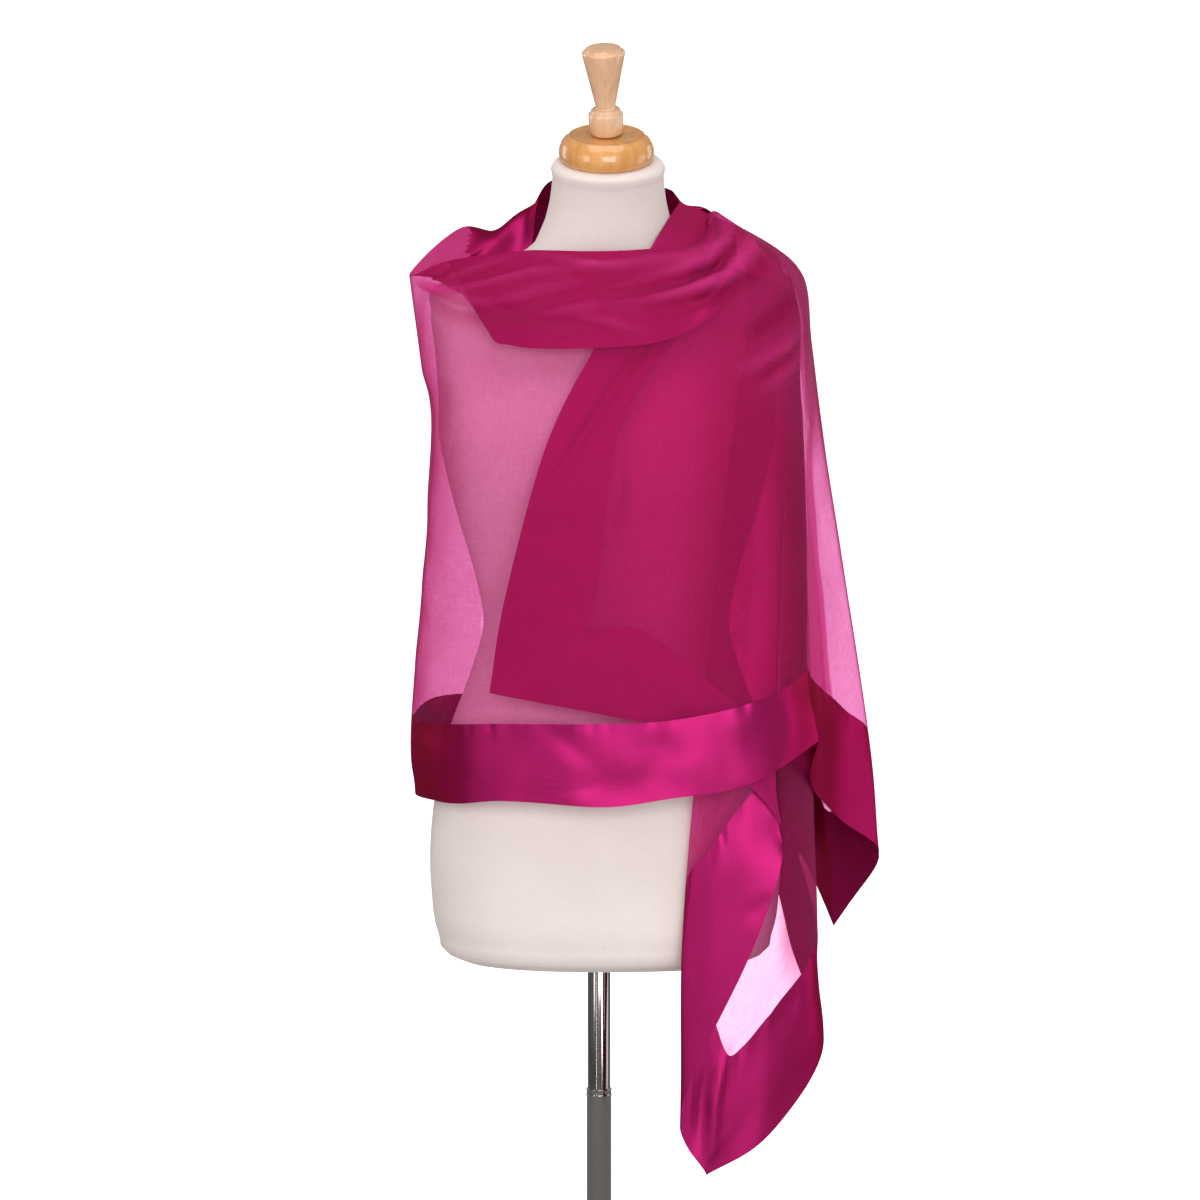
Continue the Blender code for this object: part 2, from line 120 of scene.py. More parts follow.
def makeFloorCard():
    # the camera sees white, and the cloth gets the light of a plain pale floor
    material, tree, shader = newMaterial("paleStudioFloor")
    setInputs(tree, shader, {"Base Color": room["floorCard"], "Roughness": room["floorRoughness"],
                             "Emission Color": room["backdrop"], "Emission Strength": room["floorGlow"]})
    dim = addNode(tree, "BsdfDiffuse", inputs={"Color": room["floorBounce"]})
    both = addNode(tree, "MixShader", inputs={0: addNode(tree, "LightPath").outputs["Is Camera Ray"],
                                              1: dim.outputs[0], 2: shader.outputs[0]})
    setInputs(tree, tree.nodes["Material Output"], {"Surface": both.outputs[0]})
    return material


def setUpRoom():
    scene = bpy.context.scene
    camera = addObject("camera", bpy.data.cameras.new("camera"))
    aimAt(camera, room["cameraPlace"], room["cameraTarget"])
    camera.data.sensor_width = room["sensor"]
    camera.data.lens = room["lens"]
    scene.camera = camera
    scene.view_settings.view_transform = "Standard"
    scene.cycles.transparent_max_bounces = room["seeThroughDepth"]

    scene.world = bpy.data.worlds.new("studio")
    scene.world.use_nodes = True
    tree = scene.world.node_tree
    tree.nodes.clear()
    path = addNode(tree, "LightPath")
    seen = addNode(tree, "Background", inputs={
        "Color": room["backdrop"], "Strength": room["backdropStrength"]})
    glow = addNode(tree, "Background", inputs={
        "Color": room["ambient"], "Strength": room["ambientStrength"]})
    both = addNode(tree, "MixShader", inputs={
        0: path.outputs["Is Camera Ray"], 1: glow.outputs[0], 2: seen.outputs[0]})
    addNode(tree, "OutputWorld", inputs={0: both.outputs[0]})

    for name, place, aim, size, watts in room["lights"]:
        lamp = bpy.data.lights.new(name, "AREA")
        lamp.shape = "RECTANGLE"
        lamp.size, lamp.size_y = size
        lamp.energy = watts
        aimAt(addObject(name, lamp), place, aim)
    snoot = room["snoot"]
    lamp = bpy.data.lights.new("snoot", "SPOT")
    lamp.energy = snoot["watts"]
    lamp.shadow_soft_size = snoot["radius"]
    lamp.spot_size = math.radians(snoot["degrees"])
    lamp.spot_blend = snoot["blend"]
    aimAt(addObject("snoot", lamp), snoot["place"], snoot["aim"])

    bm = bmesh.new()
    bmesh.ops.create_grid(bm, x_segments=1, y_segments=1, size=room["floorSize"] / 2)
    mesh = bpy.data.meshes.new("floor")
    bm.to_mesh(mesh)
    bm.free()
    floor = addObject("floor", mesh)
    mesh.materials.append(makeFloorCard())


setUpRoom()
print("room ready")


# Materials. The size of a pattern is given in cells per metre.
chiffonLook = {
    "through": "#fcc8ea",  # light that passes one layer
    "throughDense": "#d868a2",  # the same, where threads bunch or the cloth turns away
    "paintedRidgeHighlight": "#ea3794",  # painted highlight: the silk's colour on top of a fold
    "paintedValleyShade": "#a01459",  # painted shade: the silk's colour down inside a fold
    "cover": 0.16,  # share of the surface that is thread
    "coverTurned": 0.62,  # the same where the cloth turns away
    "turnPower": 4.0,  # how late it closes as it turns away
    "gatherDensity": 0.9,  # how much denser a deep crease is
    "threadDensity": 0.12,  # how much denser a streak of thread is
    "drift": 0.04,  # slow change of density, up or down
    "streaks": ((60, 400, 1), (400, 60, 1)),  # warp and weft
    "clouds": 22.0,
    "glow": 0.25,  # share of the thread's light that comes through from behind
}


def makeChiffon(name, layers):
    # Silk chiffon, plain-woven from crisp twisted yarn: thin enough to tint what lies behind,
    # a little denser where it turns away. The 0.25 mm thread is drawn as 2.5 mm streaks to show.
    look = chiffonLook
    material, tree, shader = newMaterial(name)
    uv = addNode(tree, "TexCoord").outputs["UV"]
    grain = []
    for scale in look["streaks"]:
        stretched = addNode(tree, "Mapping", inputs={"Vector": uv, "Scale": scale}).outputs[0]
        grain.append(addNode(tree, "TexNoise", inputs={
            "Vector": stretched, "Scale": 1.0, "Detail": 2.0, "Roughness": 0.6}).outputs[0])
    weave = addNode(tree, "Math", {"operation": "ADD"}, {0: grain[0], 1: grain[1]}).outputs[0]
    cloud = addNode(tree, "TexNoise", inputs={"Vector": uv, "Scale": look["clouds"], "Detail": 2.0})
    facing = addNode(tree, "LayerWeight", inputs={"Blend": 0.5}).outputs["Facing"]
    turned = addNode(tree, "Math", {"operation": "POWER"}, {0: facing, 1: look["turnPower"]})
    uneven = addNode(tree, "MapRange", inputs={
        "Value": weave, "From Min": 0.75, "From Max": 1.25, "To Min": 0.0, "To Max": look["threadDensity"]})
    drift = addNode(tree, "MapRange", inputs={
        "Value": cloud.outputs[0], "From Min": 0.3, "From Max": 0.7,
        "To Min": -look["drift"], "To Max": look["drift"]})
    dense = addNode(tree, "Math", {"operation": "ADD"}, {0: uneven.outputs[0], 1: turned.outputs[0]})
    # this attribute holds denser thread together with painted fold shade and painted highlight
    foldDensityAndShade = addNode(tree, "Attribute", {"attribute_name": "foldDensityAndShade"}).outputs["Fac"]
    folded = addNode(tree, "Math", {"operation": "ABSOLUTE"}, {0: foldDensityAndShade})
    dense = addNode(tree, "Math", {"operation": "MULTIPLY_ADD"}, {
        0: folded.outputs[0], 1: look["gatherDensity"], 2: dense.outputs[0]})
    dense = addNode(tree, "Math", {"operation": "ADD", "use_clamp": True}, {
        0: dense.outputs[0], 1: drift.outputs[0]}).outputs[0]
    # painted shade and highlight: the thread is darker down in folds and lighter on top of them
    foldShadeShare = addNode(tree, "MapRange", inputs={"Value": foldDensityAndShade, "From Min": -1.0, "From Max": 1.0})
    threadWithPaintedShade = addNode(tree, "Mix", {"data_type": "RGBA"}, {
        0: foldShadeShare.outputs[0], 6: linear(look["paintedRidgeHighlight"]), 7: linear(look["paintedValleyShade"])}).outputs[2]
    tint = addNode(tree, "Mix", {"data_type": "RGBA"}, {
        0: dense, 6: tuple(v ** layers for v in linear(look["through"])),
        7: tuple(v ** layers for v in linear(look["throughDense"]))})
    cover = addNode(tree, "MapRange", inputs={
        "Value": dense, "To Min": 1 - (1 - look["cover"]) ** layers, "To Max": look["coverTurned"]})
    clear = addNode(tree, "BsdfTransparent", inputs={"Color": tint.outputs[2]})
    glow = addNode(tree, "BsdfTranslucent", inputs={"Color": threadWithPaintedShade})
    bump = addNode(tree, "Bump", inputs={"Height": weave, "Strength": 0.12, "Distance": 0.0006})
    setInputs(tree, shader, {
        "Base Color": threadWithPaintedShade, "Roughness": 0.62, "Specular IOR Level": 0.25, "Sheen Weight": 0.07,
        "Sheen Roughness": 0.4, "Sheen Tint": linear("#f45aa8"), "Normal": bump.outputs[0]})
    cloth = addNode(tree, "MixShader", inputs={0: look["glow"], 1: shader.outputs[0], 2: glow.outputs[0]})
    both = addNode(tree, "MixShader", inputs={0: cover.outputs[0], 1: clear.outputs[0], 2: cloth.outputs[0]})
    setInputs(tree, tree.nodes["Material Output"], {"Surface": both.outputs[0]})
    return material


satinLook = {
    "face": "#a61f62",  # the floats that lie across the light
    "shade": "#991b58",
    "turned": "#9c1048",  # painted shade: deeper and redder where the cloth turns away from the view
    "turnShadeGain": 1.5,
    "floats": (70, 450, 1),
    "roughnessSpread": 0.04,
}


def makeSatin(name, metallic, roughness):
    # Silk satin: long floats across the face give a broad tinted highlight with dark beside it.
    # Float lines are drawn at about 2 mm so that they show.
    look = satinLook
    material, tree, shader = newMaterial(name)
    uv = addNode(tree, "TexCoord").outputs["UV"]
    stretched = addNode(tree, "Mapping", inputs={"Vector": uv, "Scale": look["floats"]}).outputs[0]
    floats = addNode(tree, "TexNoise", inputs={"Vector": stretched, "Scale": 1.0, "Detail": 2.0}).outputs[0]
    share = addNode(tree, "MapRange", inputs={"Value": floats, "From Min": 0.3, "From Max": 0.7})
    colour = addNode(tree, "Mix", {"data_type": "RGBA"}, {
        0: share.outputs[0], 6: linear(look["shade"]), 7: linear(look["face"])}).outputs[2]
    # painted shade: the base colour turns deeper and redder as the surface turns away from the view
    facing = addNode(tree, "LayerWeight", inputs={"Blend": 0.5}).outputs["Facing"]
    turnShadeShare = addNode(tree, "Math", {"operation": "MULTIPLY", "use_clamp": True}, {
        0: facing, 1: look["turnShadeGain"]})
    paintedTurnShade = addNode(tree, "Mix", {"data_type": "RGBA"}, {
        0: turnShadeShare.outputs[0], 6: colour, 7: linear(look["turned"])})
    rough = addNode(tree, "MapRange", inputs={
        "Value": floats, "From Min": 0.3, "From Max": 0.7,
        "To Min": roughness - look["roughnessSpread"], "To Max": roughness + look["roughnessSpread"]})
    bump = addNode(tree, "Bump", inputs={"Height": floats, "Strength": 0.08, "Distance": 0.0006})
    setInputs(tree, shader, {
        "Base Color": paintedTurnShade.outputs[2], "Metallic": metallic, "Roughness": rough.outputs[0],
        "Specular Tint": linear("#c82a6a"), "Normal": bump.outputs[0]})
    return material


def makeGrained(name, look, dark, light, finish):
    # a fine pattern over slow clouds, between two colours, as in knit and in wood
    material, tree, shader = newMaterial(name)
    place = addNode(tree, "TexCoord").outputs["Object"]
    stretched = addNode(tree, "Mapping", inputs={"Vector": place, "Scale": look["pattern"]}).outputs[0]
    fine = addNode(tree, "TexNoise", inputs={
        "Vector": stretched, "Scale": 1.0, "Detail": look["detail"]}).outputs[0]
    cloud = addNode(tree, "TexNoise", inputs={
        "Vector": place, "Scale": look["clouds"], "Detail": look["cloudDetail"]})
    mixed = addNode(tree, "Math", {"operation": "MULTIPLY_ADD"}, {
        0: fine, 1: look["share"], 2: cloud.outputs[0]})
    low, high = look["range"]
    share = addNode(tree, "MapRange", inputs={"Value": mixed.outputs[0], "From Min": low, "From Max": high})
    colour = addNode(tree, "Mix", {"data_type": "RGBA"}, {
        0: share.outputs[0], 6: linear(dark), 7: linear(light)}).outputs[2]
    bump = addNode(tree, "Bump", inputs={
        "Height": fine, "Strength": look["bump"], "Distance": look["bumpHeight"]})
    setInputs(tree, shader, {"Base Color": colour, "Normal": bump.outputs[0], **finish})
    return material


# Cotton jersey cover, stretched over the torso: matt, off-white, fine knit ribs drawn at 2 mm.
jerseyLook = {"pattern": (260, 260, 900), "detail": 2.0, "share": 0.5, "clouds": 7.0,
              "cloudDetail": 4.0, "range": (0.5, 1.0), "bump": 0.2, "bumpHeight": 0.0006}
jerseyFinish = {"Roughness": 0.92, "Sheen Weight": 0.2, "Specular IOR Level": 0.2}
# Turned wood under clear varnish: faint grain along the axis, a hard gloss coat.
woodLook = {"pattern": (150, 150, 9), "detail": 4.0, "share": 0.8, "clouds": 14.0,
            "cloudDetail": 2.0, "range": (0.6, 1.15), "bump": 0.06, "bumpHeight": 0.0005}
woodFinish = {"Roughness": 0.42, "Coat Weight": 0.8, "Coat Roughness": 0.08}
chromeLook = {"colour": "#8a8582", "drawing": (900, 900, 6), "roughness": (0.07, 0.16)}


def makeChrome():
    # Chromed steel tube: near mirror, faint lengthwise drawing lines and a few dull patches.
    material, tree, shader = newMaterial("chromedSteelTube")
    place = addNode(tree, "TexCoord").outputs["Object"]
    along = addNode(tree, "Mapping", inputs={"Vector": place, "Scale": chromeLook["drawing"]}).outputs[0]
    lines = addNode(tree, "TexNoise", inputs={"Vector": along, "Scale": 1.0, "Detail": 2.0}).outputs[0]
    low, high = chromeLook["roughness"]
    rough = addNode(tree, "MapRange", inputs={
        "Value": lines, "From Min": 0.3, "From Max": 0.7, "To Min": low, "To Max": high})
    setInputs(tree, shader, {
        "Base Color": linear(chromeLook["colour"]), "Metallic": 1.0, "Roughness": rough.outputs[0]})
    return material


chiffon = makeChiffon("silkChiffonPlainWeave", 1)
doubledChiffon = makeChiffon("silkChiffonLyingDouble", 2)  # the inner wrap lies double
rolledChiffon = makeChiffon("silkChiffonRolledEdge", 4)  # rolled up along the shoulder
satin = makeSatin("silkSatinFloatWeave", 0.85, 0.46)  # silk floats give a tinted mirror glow
satinReverse = makeSatin("silkSatinReverse", 0.3, 0.6)  # the side without floats is nearly matt
jersey = makeGrained("cottonJerseyKnit", jerseyLook, "#ddcfca", "#e8ddd8", jerseyFinish)
capWood = makeGrained("varnishedHoneyBeech", woodLook, "#c07f3a", "#e0a25a", woodFinish)
knobWood = makeGrained("varnishedPaleBeech", woodLook, "#d3a075", "#e8be98", woodFinish)
chrome = makeChrome()
print("materials ready")

# Cloth
cloth = {
    "foldRadius": 3.5,  # mm
    "step": 4.0,  # spacing of the points along the stole, in mm
    "rows": (11, 19, 23, 66, 22),  # rows between the named columns
    "turnCrowding": 1.7,  # points crowd towards a fold
    "smoothing": 24,  # passes
    "pull": 0.25,  # share of the bend taken out by each
    "leastSteps": 5,  # between two falls
    "foldReach": 16.0,  # mm beside a fold that smoothing and creases leave alone
    "foldFlat": 5,  # mm beside it that stay exactly as they are
    "cornerFlat": 6,
    "mitres": ("corner", "rearCorner", "frontTurn"),  # sewn corners and a pressed fold, crisp low down
    "mitreRows": (3.6, 0.4),  # in columns: where they turn crisp
    "mitreHold": (4.0, 1.5),
}

# Fall lines, the same as the solids have. A turn of 1 or -1 is a fold, and says which way it goes round.
# name, turn, rim, top, shoulder, yoke, chest, seam, hem
falls = (
    ("lead", 0, None, (74, 14, 1426), (46, -60, 1384), (-4, -94, 1295), (-55, -123, 1197),
     (-98, -113, 1040), (-113, -110, 949)),
    ("leadSeam", 0, None, (128, 8, 1404), (130, -62, 1350), (62, -92, 1286),
     (11, -124, 1197), (-15, -127, 1019), (-90, -114, 945)),
    ("innerA", 0, None, (142, 4, 1394), (148, -60, 1348), (100, -88, 1285),
     (58, -122, 1192), (34, -131, 1018), (14, -132, 927)),
    ("innerB", 0, None, (156, 2, 1385), (166, -52, 1342), (142, -80, 1280),
     (112, -114, 1188), (88, -132, 978), (84, -134, 909)),
    ("innerTurn", 1, None, (172, 2, 1370), (180, -40, 1334), (180, -60, 1272),
     (176, -84, 1180), (166, -118, 893), (172, -122, 815)),
    ("nearA", 0, None, (161, 5, 1374), (169, -40, 1334), (158, -66, 1274),
     (150, -90, 1178), (128, -122, 842), (171, -126, 778)),
    ("nearB", 0, None, (150, 7, 1378), (158, -44, 1336), (146, -66, 1275),
     (134, -96, 1174), (102, -120, 803), (142, -129, 694)),
    ("tailTurn", 1, None, (136, 10, 1380), (142, -46, 1338), (136, -64, 1270),
     (121, -92, 1172), (79, -112, 762), (74, -113, 530)),
    ("corner", 0, None, (150, 13, 1371), (158, -34, 1332), (150, -54, 1266),
     (138, -80, 1170), (121, -102, 589), (100, -106, 470)),
    ("far", 0, None, (168, 15, 1361), (177.4, -19.6, 1325.6), (174, -36, 1258),
     (172, -56, 1164), (166, -86, 640), (160, -90, 504)),
    ("side", 0, None, (185, 18, 1350), (194, 6, 1312), (194, 2, 1240),
     (199, 0, 1150), (211, -46, 698), (219, -38, 586)),
    ("sideBack", 0, None, (176, 30, 1360), (190, 44, 1312), (190, 60, 1240),
     (194, 64, 1150), (200, 34, 760), (190, 28, 668)),
    ("backA", 0, (74, 15, 1426), (128, 9, 1404), (158, 76, 1345), (160, 98, 1262),
     (164, 106, 1165), (166, 108, 880), (161, 112, 786)),
    ("backB", 0, (62, 46, 1440), (100, 72, 1384), (112, 104, 1326), (114, 122, 1250),
     (114, 130, 1160), (110, 138, 917), (108, 140, 830)),
    ("backC", 0, (2, 66, 1452), (2, 100, 1376), (2, 122, 1316), (2, 134, 1240),
     (2, 138, 1160), (0, 146, 925), (0, 148, 838)),
    ("backD", 0, (-60, 42, 1443), (-96, 74, 1386), (-114, 100, 1328), (-120, 116, 1250),
     (-122, 124, 1160), (-124, 132, 926), (-124, 134, 838)),
    ("backE", 0, (-80, 8, 1366), (-144, 26, 1403), (-172, 50, 1344), (-178, 60, 1262),
     (-174, 66, 1180), (-182, 74, 926), (-182, 76, 838)),
    ("leftTurn", -1, (-136, -36, 1352), (-194, -8, 1354), (-190, -2, 1320), (-182, 0, 1262),
     (-170, 2, 1190), (-194, -2, 914), (-190, -2, 834)),
    ("frontA", 0, (-112, -82, 1296), (-160, -42, 1367), (-156, -66, 1332), (-150, -84, 1265),
     (-142, -98, 1187), (-150, -98, 922), (-150, -96, 838)),
    ("frontB", 0, (-92, -92, 1287), (-114, -67, 1375), (-112, -92, 1336), (-108, -112, 1265),
     (-104, -126, 1188), (-108, -128, 926), (-106, -130, 846)),
    ("frontC", 0, (-60, -102, 1284), (-58, -80, 1379), (-58, -108, 1336), (-57, -128, 1265),
     (-56, -142, 1186), (-58, -148, 928), (-58, -150, 846)),
    ("frontD", 0, (0, -106, 1285), (2, -86, 1378), (2, -114, 1335), (3, -134, 1265),
     (4, -146, 1186), (4, -154, 929), (6, -156, 843)),
    ("frontE", 0, (54, -102, 1291), (56, -78, 1381), (60, -106, 1338), (63, -128, 1265),
     (66, -142, 1186), (66, -151, 932), (66, -153, 852)),
    ("frontF", 0, (100, -96, 1312), (92, -64, 1387), (106, -96, 1342), (116, -116, 1268),
     (124, -132, 1188), (128, -144, 944), (128, -147, 860)),
    ("frontG", 0, (128, -78, 1345), (105, -38, 1408), (150, -76, 1352), (162, -96, 1272),
     (168, -108, 1188), (172, -127, 958), (174, -129, 880)),
    ("frontTurn", 0, None, (110, -18, 1415), (185, -46, 1352), (197, -54, 1272),
     (197, -66, 1180), (199, -80, 972), (209, -84, 898)),
    ("rearA", 0, None, (112, -4, 1415), (190, -4, 1364), (204, -2, 1290),
     (206, -12, 1180), (208, -40, 958), (202, -44, 851)),
    ("rearB", 0, None, (112, 14, 1411), (191, 18, 1366), (205, 24, 1300),
     (218, 28, 1180), (242, 26, 922), (244, 26, 800)),
    ("rearTurn", 1, None, (112, 32, 1408), (188, 38, 1366), (204, 44, 1304),
     (222, 54, 1180), (268, 60, 890), (280, 62, 764)),
    ("rearCorner", 0, None, (111, 48, 1404), (178, 58, 1364), (192, 72, 1300),
     (205, 92, 1180), (232, 108, 800), (237, 114, 680)),
    ("rearC", 0, None, (108, 60, 1404), (160, 78, 1361), (172, 102, 1300),
     (182, 128, 1180), (204, 160, 850), (205, 168, 748)),
    ("rearD", 0, None, (107, 70, 1396), (142, 92, 1356), (150, 118, 1296),
     (156, 134, 1176), (164, 138, 880), (165, 140, 792)),
    ("rearE", 0, None, (106, 78, 1391), (126, 102, 1350), (128, 130, 1290),
     (128, 150, 1176), (128, 176, 905), (128, 180, 817)),
    ("rearF", 0, None, (104, 84, 1387), (110, 108, 1346), (106, 134, 1286),
     (98, 146, 1175), (92, 154, 915), (90, 154, 828)),
    ("rearSeam", 0, None, (100, 88, 1384), (94, 112, 1344), (82, 138, 1282),
     (66, 154, 1175), (54, 180, 925), (52, 182, 840)),
    ("rearEdge", 0, None, (80, 92, 1384), (60, 118, 1342), (30, 142, 1280),
     (-8, 154, 1175), (-46, 162, 990), (-60, 164, 886)),
)
fallNames = [row[0] for row in falls]
turns = [row[1] for row in falls]


def placeOf(name):
    return fallNames.index(name)


def ramp(value, start, width):
    # grows evenly from 0 to 1
    return np.clip((value - start) / width, 0, 1)


def fallRamp(name, shift, length):
    # the same along the stole, from beside a fall
    return ramp(places, placeOf(name) + shift, length)


def between(first, last, beyond=0.0):
    # the columns from one fall to another
    return (places > placeOf(first)) & (places < placeOf(last) + beyond)


def hermite(p0, t0, p1, t1, t):
    return (p0 * (2 * t ** 3 - 3 * t ** 2 + 1) + t0 * (t ** 3 - 2 * t ** 2 + t)
            + p1 * (3 * t ** 2 - 2 * t ** 3) + t1 * (t ** 3 - t ** 2))


def smoothTangents(points):
    tangents = np.empty_like(points)
    tangents[1:-1] = (points[2:] - points[:-2]) / 2
    tangents[0] = points[1] - points[0]
    tangents[-1] = points[-1] - points[-2]
    return tangents


def unit(v):
    return v / (np.linalg.norm(v, axis=-1, keepdims=True) + 1e-12)


def runLength(points, axis):
    # distance along the grid from its first column or row, as a mean of the other way
    steps = np.linalg.norm(np.diff(points, axis=axis), axis=2).mean(axis=1 - axis)
    return np.concatenate([[0], np.cumsum(steps)])


def turnTangent(before, point, after, along, side):
    # the cloth runs straight across its fold line at a turn
    inward = unit(before - point) + unit(after - point)
    inward = unit(inward - along * inward.dot(along))
    across = np.cross(inward, along)
    if across[1] * side < 0:
        across = -across
    leg = (abs((before - point).dot(inward)) + abs((after - point).dot(inward))) / 2
    slip = along * ((after - before).dot(along) / 2)
    return across * math.sqrt(6 * cloth["foldRadius"] * leg) + slip


def chainPlaces(first, last):
    # places along the stole in units of fall lines, closer together beside each fold
    spots = []
    for i in range(first, last):
        legs = np.array(falls[i + 1][3:], float) - np.array(falls[i][3:], float)
        count = max(cloth["leastSteps"], math.ceil(np.linalg.norm(legs, axis=1).max() / cloth["step"]))
        t = np.arange(count) / count
        if abs(turns[i]) == 1:
            t = t ** cloth["turnCrowding"]
        if abs(turns[i + 1]) == 1:
            t = 1 - (1 - t) ** cloth["turnCrowding"]
        spots += list(i + t)
    return np.array(spots + [float(last)])


def chainRow(points, alongs, first, spots, crisp=0.0):
    # crisp goes from 0 to 1 where the hem turns a sewn corner
    tangents = smoothTangents(points)
    for k in range(1, len(points) - 1):
        side = turns[first + k]
        if side in (1, -1):
            tangents[k] = turnTangent(points[k - 1], points[k], points[k + 1], alongs[k], side)
    arrive, leave = tangents.copy(), tangents.copy()
    for name in cloth["mitres"]:
        k = placeOf(name) - first
        if 0 < k < len(points) - 1:
            arrive[k] += crisp * (points[k] - points[k - 1] - tangents[k])
            leave[k] += crisp * (points[k + 1] - points[k] - tangents[k])
    k = np.minimum(spots.astype(int) - first, len(points) - 2)
    t = (spots - first - k)[:, None]
    return hermite(points[k], leave[k], points[k + 1], arrive[k + 1], t)


def buildDrape():
    # the whole stole from its upper edge to its hem, one row for each place down the falls
    table = np.array([row[3:] for row in falls], float)
    slopes = np.array([smoothTangents(line) for line in table])
    spots = chainPlaces(0, len(falls) - 1)
    rows, rowColumns = [], []
    for column, count in enumerate(cloth["rows"]):
        stretch = (table[:, column], slopes[:, column], table[:, column + 1], slopes[:, column + 1])
        ends = [k / count for k in range(count)] + ([1.0] if column == len(cloth["rows"]) - 1 else [])
        for t in ends:
            points = hermite(*stretch, t)
            near = 0.1 if t < 1 else -0.1
            alongs = unit((hermite(*stretch, t + near) - points) * near)
            rows.append(chainRow(points, alongs, 0, spots, ramp(column + t, *cloth["mitreRows"])))
            rowColumns.append(column + 1 + t)
    return np.array(rows), np.array(rowColumns), spots


def fallDistance(grid, chosen):
    # how far each point of the stole is from the nearest of some fall lines, along its row
    steps = np.linalg.norm(np.diff(grid, axis=1), axis=2)
    along = np.concatenate([np.zeros((grid.shape[0], 1)), np.cumsum(steps, axis=1)], axis=1)
    nearest = np.full(grid.shape[:2], 1e9)
    for i in chosen:
        at = int(np.argmin(abs(places - i)))
        nearest = np.minimum(nearest, abs(along - along[:, at:at + 1]))
    return nearest, along


def relax(grid, hold, passes):
    # evens out the curvature between fall lines; hold is 1 where a point stays
    free = cloth["pull"] * (1 - hold)[..., None]
    for _ in range(passes):
        bend = np.zeros_like(grid)
        bend[:, 1:-1] += grid[:, :-2] + grid[:, 2:] - 2 * grid[:, 1:-1]
        bend[1:-1] += grid[:-2] + grid[2:] - 2 * grid[1:-1]
        grid = grid + bend * free
    return grid


drape, downs, places = buildDrape()
foldGap, run = fallDistance(drape, [i for i, turn in enumerate(turns) if abs(turn) == 1])
cornerGap, _ = fallDistance(drape, [placeOf(name) for name in cloth["mitres"]])
holdFold = 1 - ramp(foldGap, cloth["foldFlat"], cloth["foldReach"])
holdCorner = 1 - ramp(cornerGap, cloth["cornerFlat"], cloth["foldReach"])
holdCorner *= ramp(downs, *cloth["mitreHold"])[:, None]
drape = relax(drape, np.maximum(holdFold, holdCorner), cloth["smoothing"])
print("drape laid out", drape.shape)


def gridNormals(grid):
    return unit(np.cross(np.gradient(grid, axis=1), np.gradient(grid, axis=0)))


# Creases in each layer between two falls: points (across, up) in mm as seen from the front, half width,
# height. Their ends fade. A height above 0 stands out from the body, below 0 goes in.
creases = {
    ("leftTurn", "frontTurn"): (
        (((-186, 1352), (-165, 1340), (-140, 1353), (-108, 1366), (-89, 1371)), 5, 5.0),
        (((-190, 1350), (-156, 1338), (-116, 1347), (-76, 1357), (-46, 1361), (-10, 1364)), 5, 5.0),
        (((-186, 1347), (-140, 1328), (-98, 1330), (-56, 1342), (-14, 1350)), 7, 4.0),
        (((-188, 1350), (-150, 1346), (-110, 1358), (-76, 1366)), 5, -4.0),
        (((-188, 1344), (-150, 1318), (-110, 1312), (-60, 1326), (-10, 1338)), 8, -3.5),
        (((-78, 1376), (-32, 1368), (-8, 1363), (20, 1362)), 5, 4.0),
        (((-60, 1370), (-20, 1356), (30, 1352), (70, 1358)), 6, -3.5),
        (((112, 1390), (102, 1381), (75, 1373), (19, 1365), (-35, 1358)), 6, 5.0),
        (((-4, 1334), (25, 1339), (75, 1349), (107, 1362), (127, 1383), (133, 1405)), 5, -8.0),
        (((10, 1344), (61, 1356), (100, 1368), (122, 1388), (120, 1414)), 8, 7.0),
        (((10, 1322), (70, 1336), (118, 1352), (142, 1380), (148, 1402)), 9, 8.0),
        (((0, 1326), (60, 1326), (110, 1336), (150, 1358), (160, 1384)), 7, -5.0),
        (((-90, 1318), (-67, 1317), (-23, 1326), (25, 1333)), 6, 4.0),
        (((-118, 1338), (-103, 1327), (-80, 1314), (-46, 1307), (-8, 1304)), 7, -3.2),
        (((-30, 1316), (1, 1311), (19, 1305), (42, 1302)), 5, 3.5),
        (((204, 1312), (183, 1288), (160, 1274), (130, 1262)), 8, 3.5),
        (((198, 1286), (178, 1265), (150, 1240)), 8, 3.0),
        (((200, 1300), (180, 1276), (152, 1258)), 6, -4.0),
        (((190, 1340), (170, 1316), (140, 1296)), 8, -4.0),
        (((-182, 1330), (-172, 1260), (-164, 1180), (-170, 1080)), 9, 2.5),
        (((150, 1180), (158, 1080), (150, 980)), 18, 2.0),
        (((-15, 889), (-38, 906), (-62, 916)), 10, -1.4),
        (((50, 918), (60, 892), (40, 862)), 16, -1.3),
        (((110, 946), (116, 915), (128, 865)), 14, -1.8),
        (((118, 950), (124, 915), (134, 862)), 14, 2.2),
        (((162, 968), (166, 930), (172, 880)), 14, -2.2),
        (((-32, 858), (-30, 848), (-28, 838)), 18, 2.0),
    ),
    ("lead", "innerTurn"): (
        (((60, 1330), (42, 1295), (28, 1272), (4, 1240), (-31, 1186), (-54, 1150)), 6, -4.0),
        (((22, 1165), (20, 1147), (12, 1104)), 4, -2.5),
        (((-20, 1010), (-40, 980), (-60, 950)), 18, 2.0),
    ),
    ("innerTurn", "tailTurn"): (
        (((118, 870), (106, 800), (98, 740)), 16, 2.0),
        (((162, 750), (150, 738), (140, 730)), 8, -1.5),
        (((88, 760), (84, 680), (80, 600)), 14, -1.6),
    ),
    ("tailTurn", "side"): (
        (((121, 600), (108, 548), (104, 488)), 6, 3.6),
        (((108, 590), (96, 548), (90, 500)), 8, -3.0),
        (((190, 645), (180, 622)), 8, -2.0),
        (((214, 690), (206, 640), (196, 600)), 14, -2.0),
    ),
}
creaseEnds = {"layer": 0.4, "line": 0.05, "power": 0.6}  # falls past a layer's end, share of a line


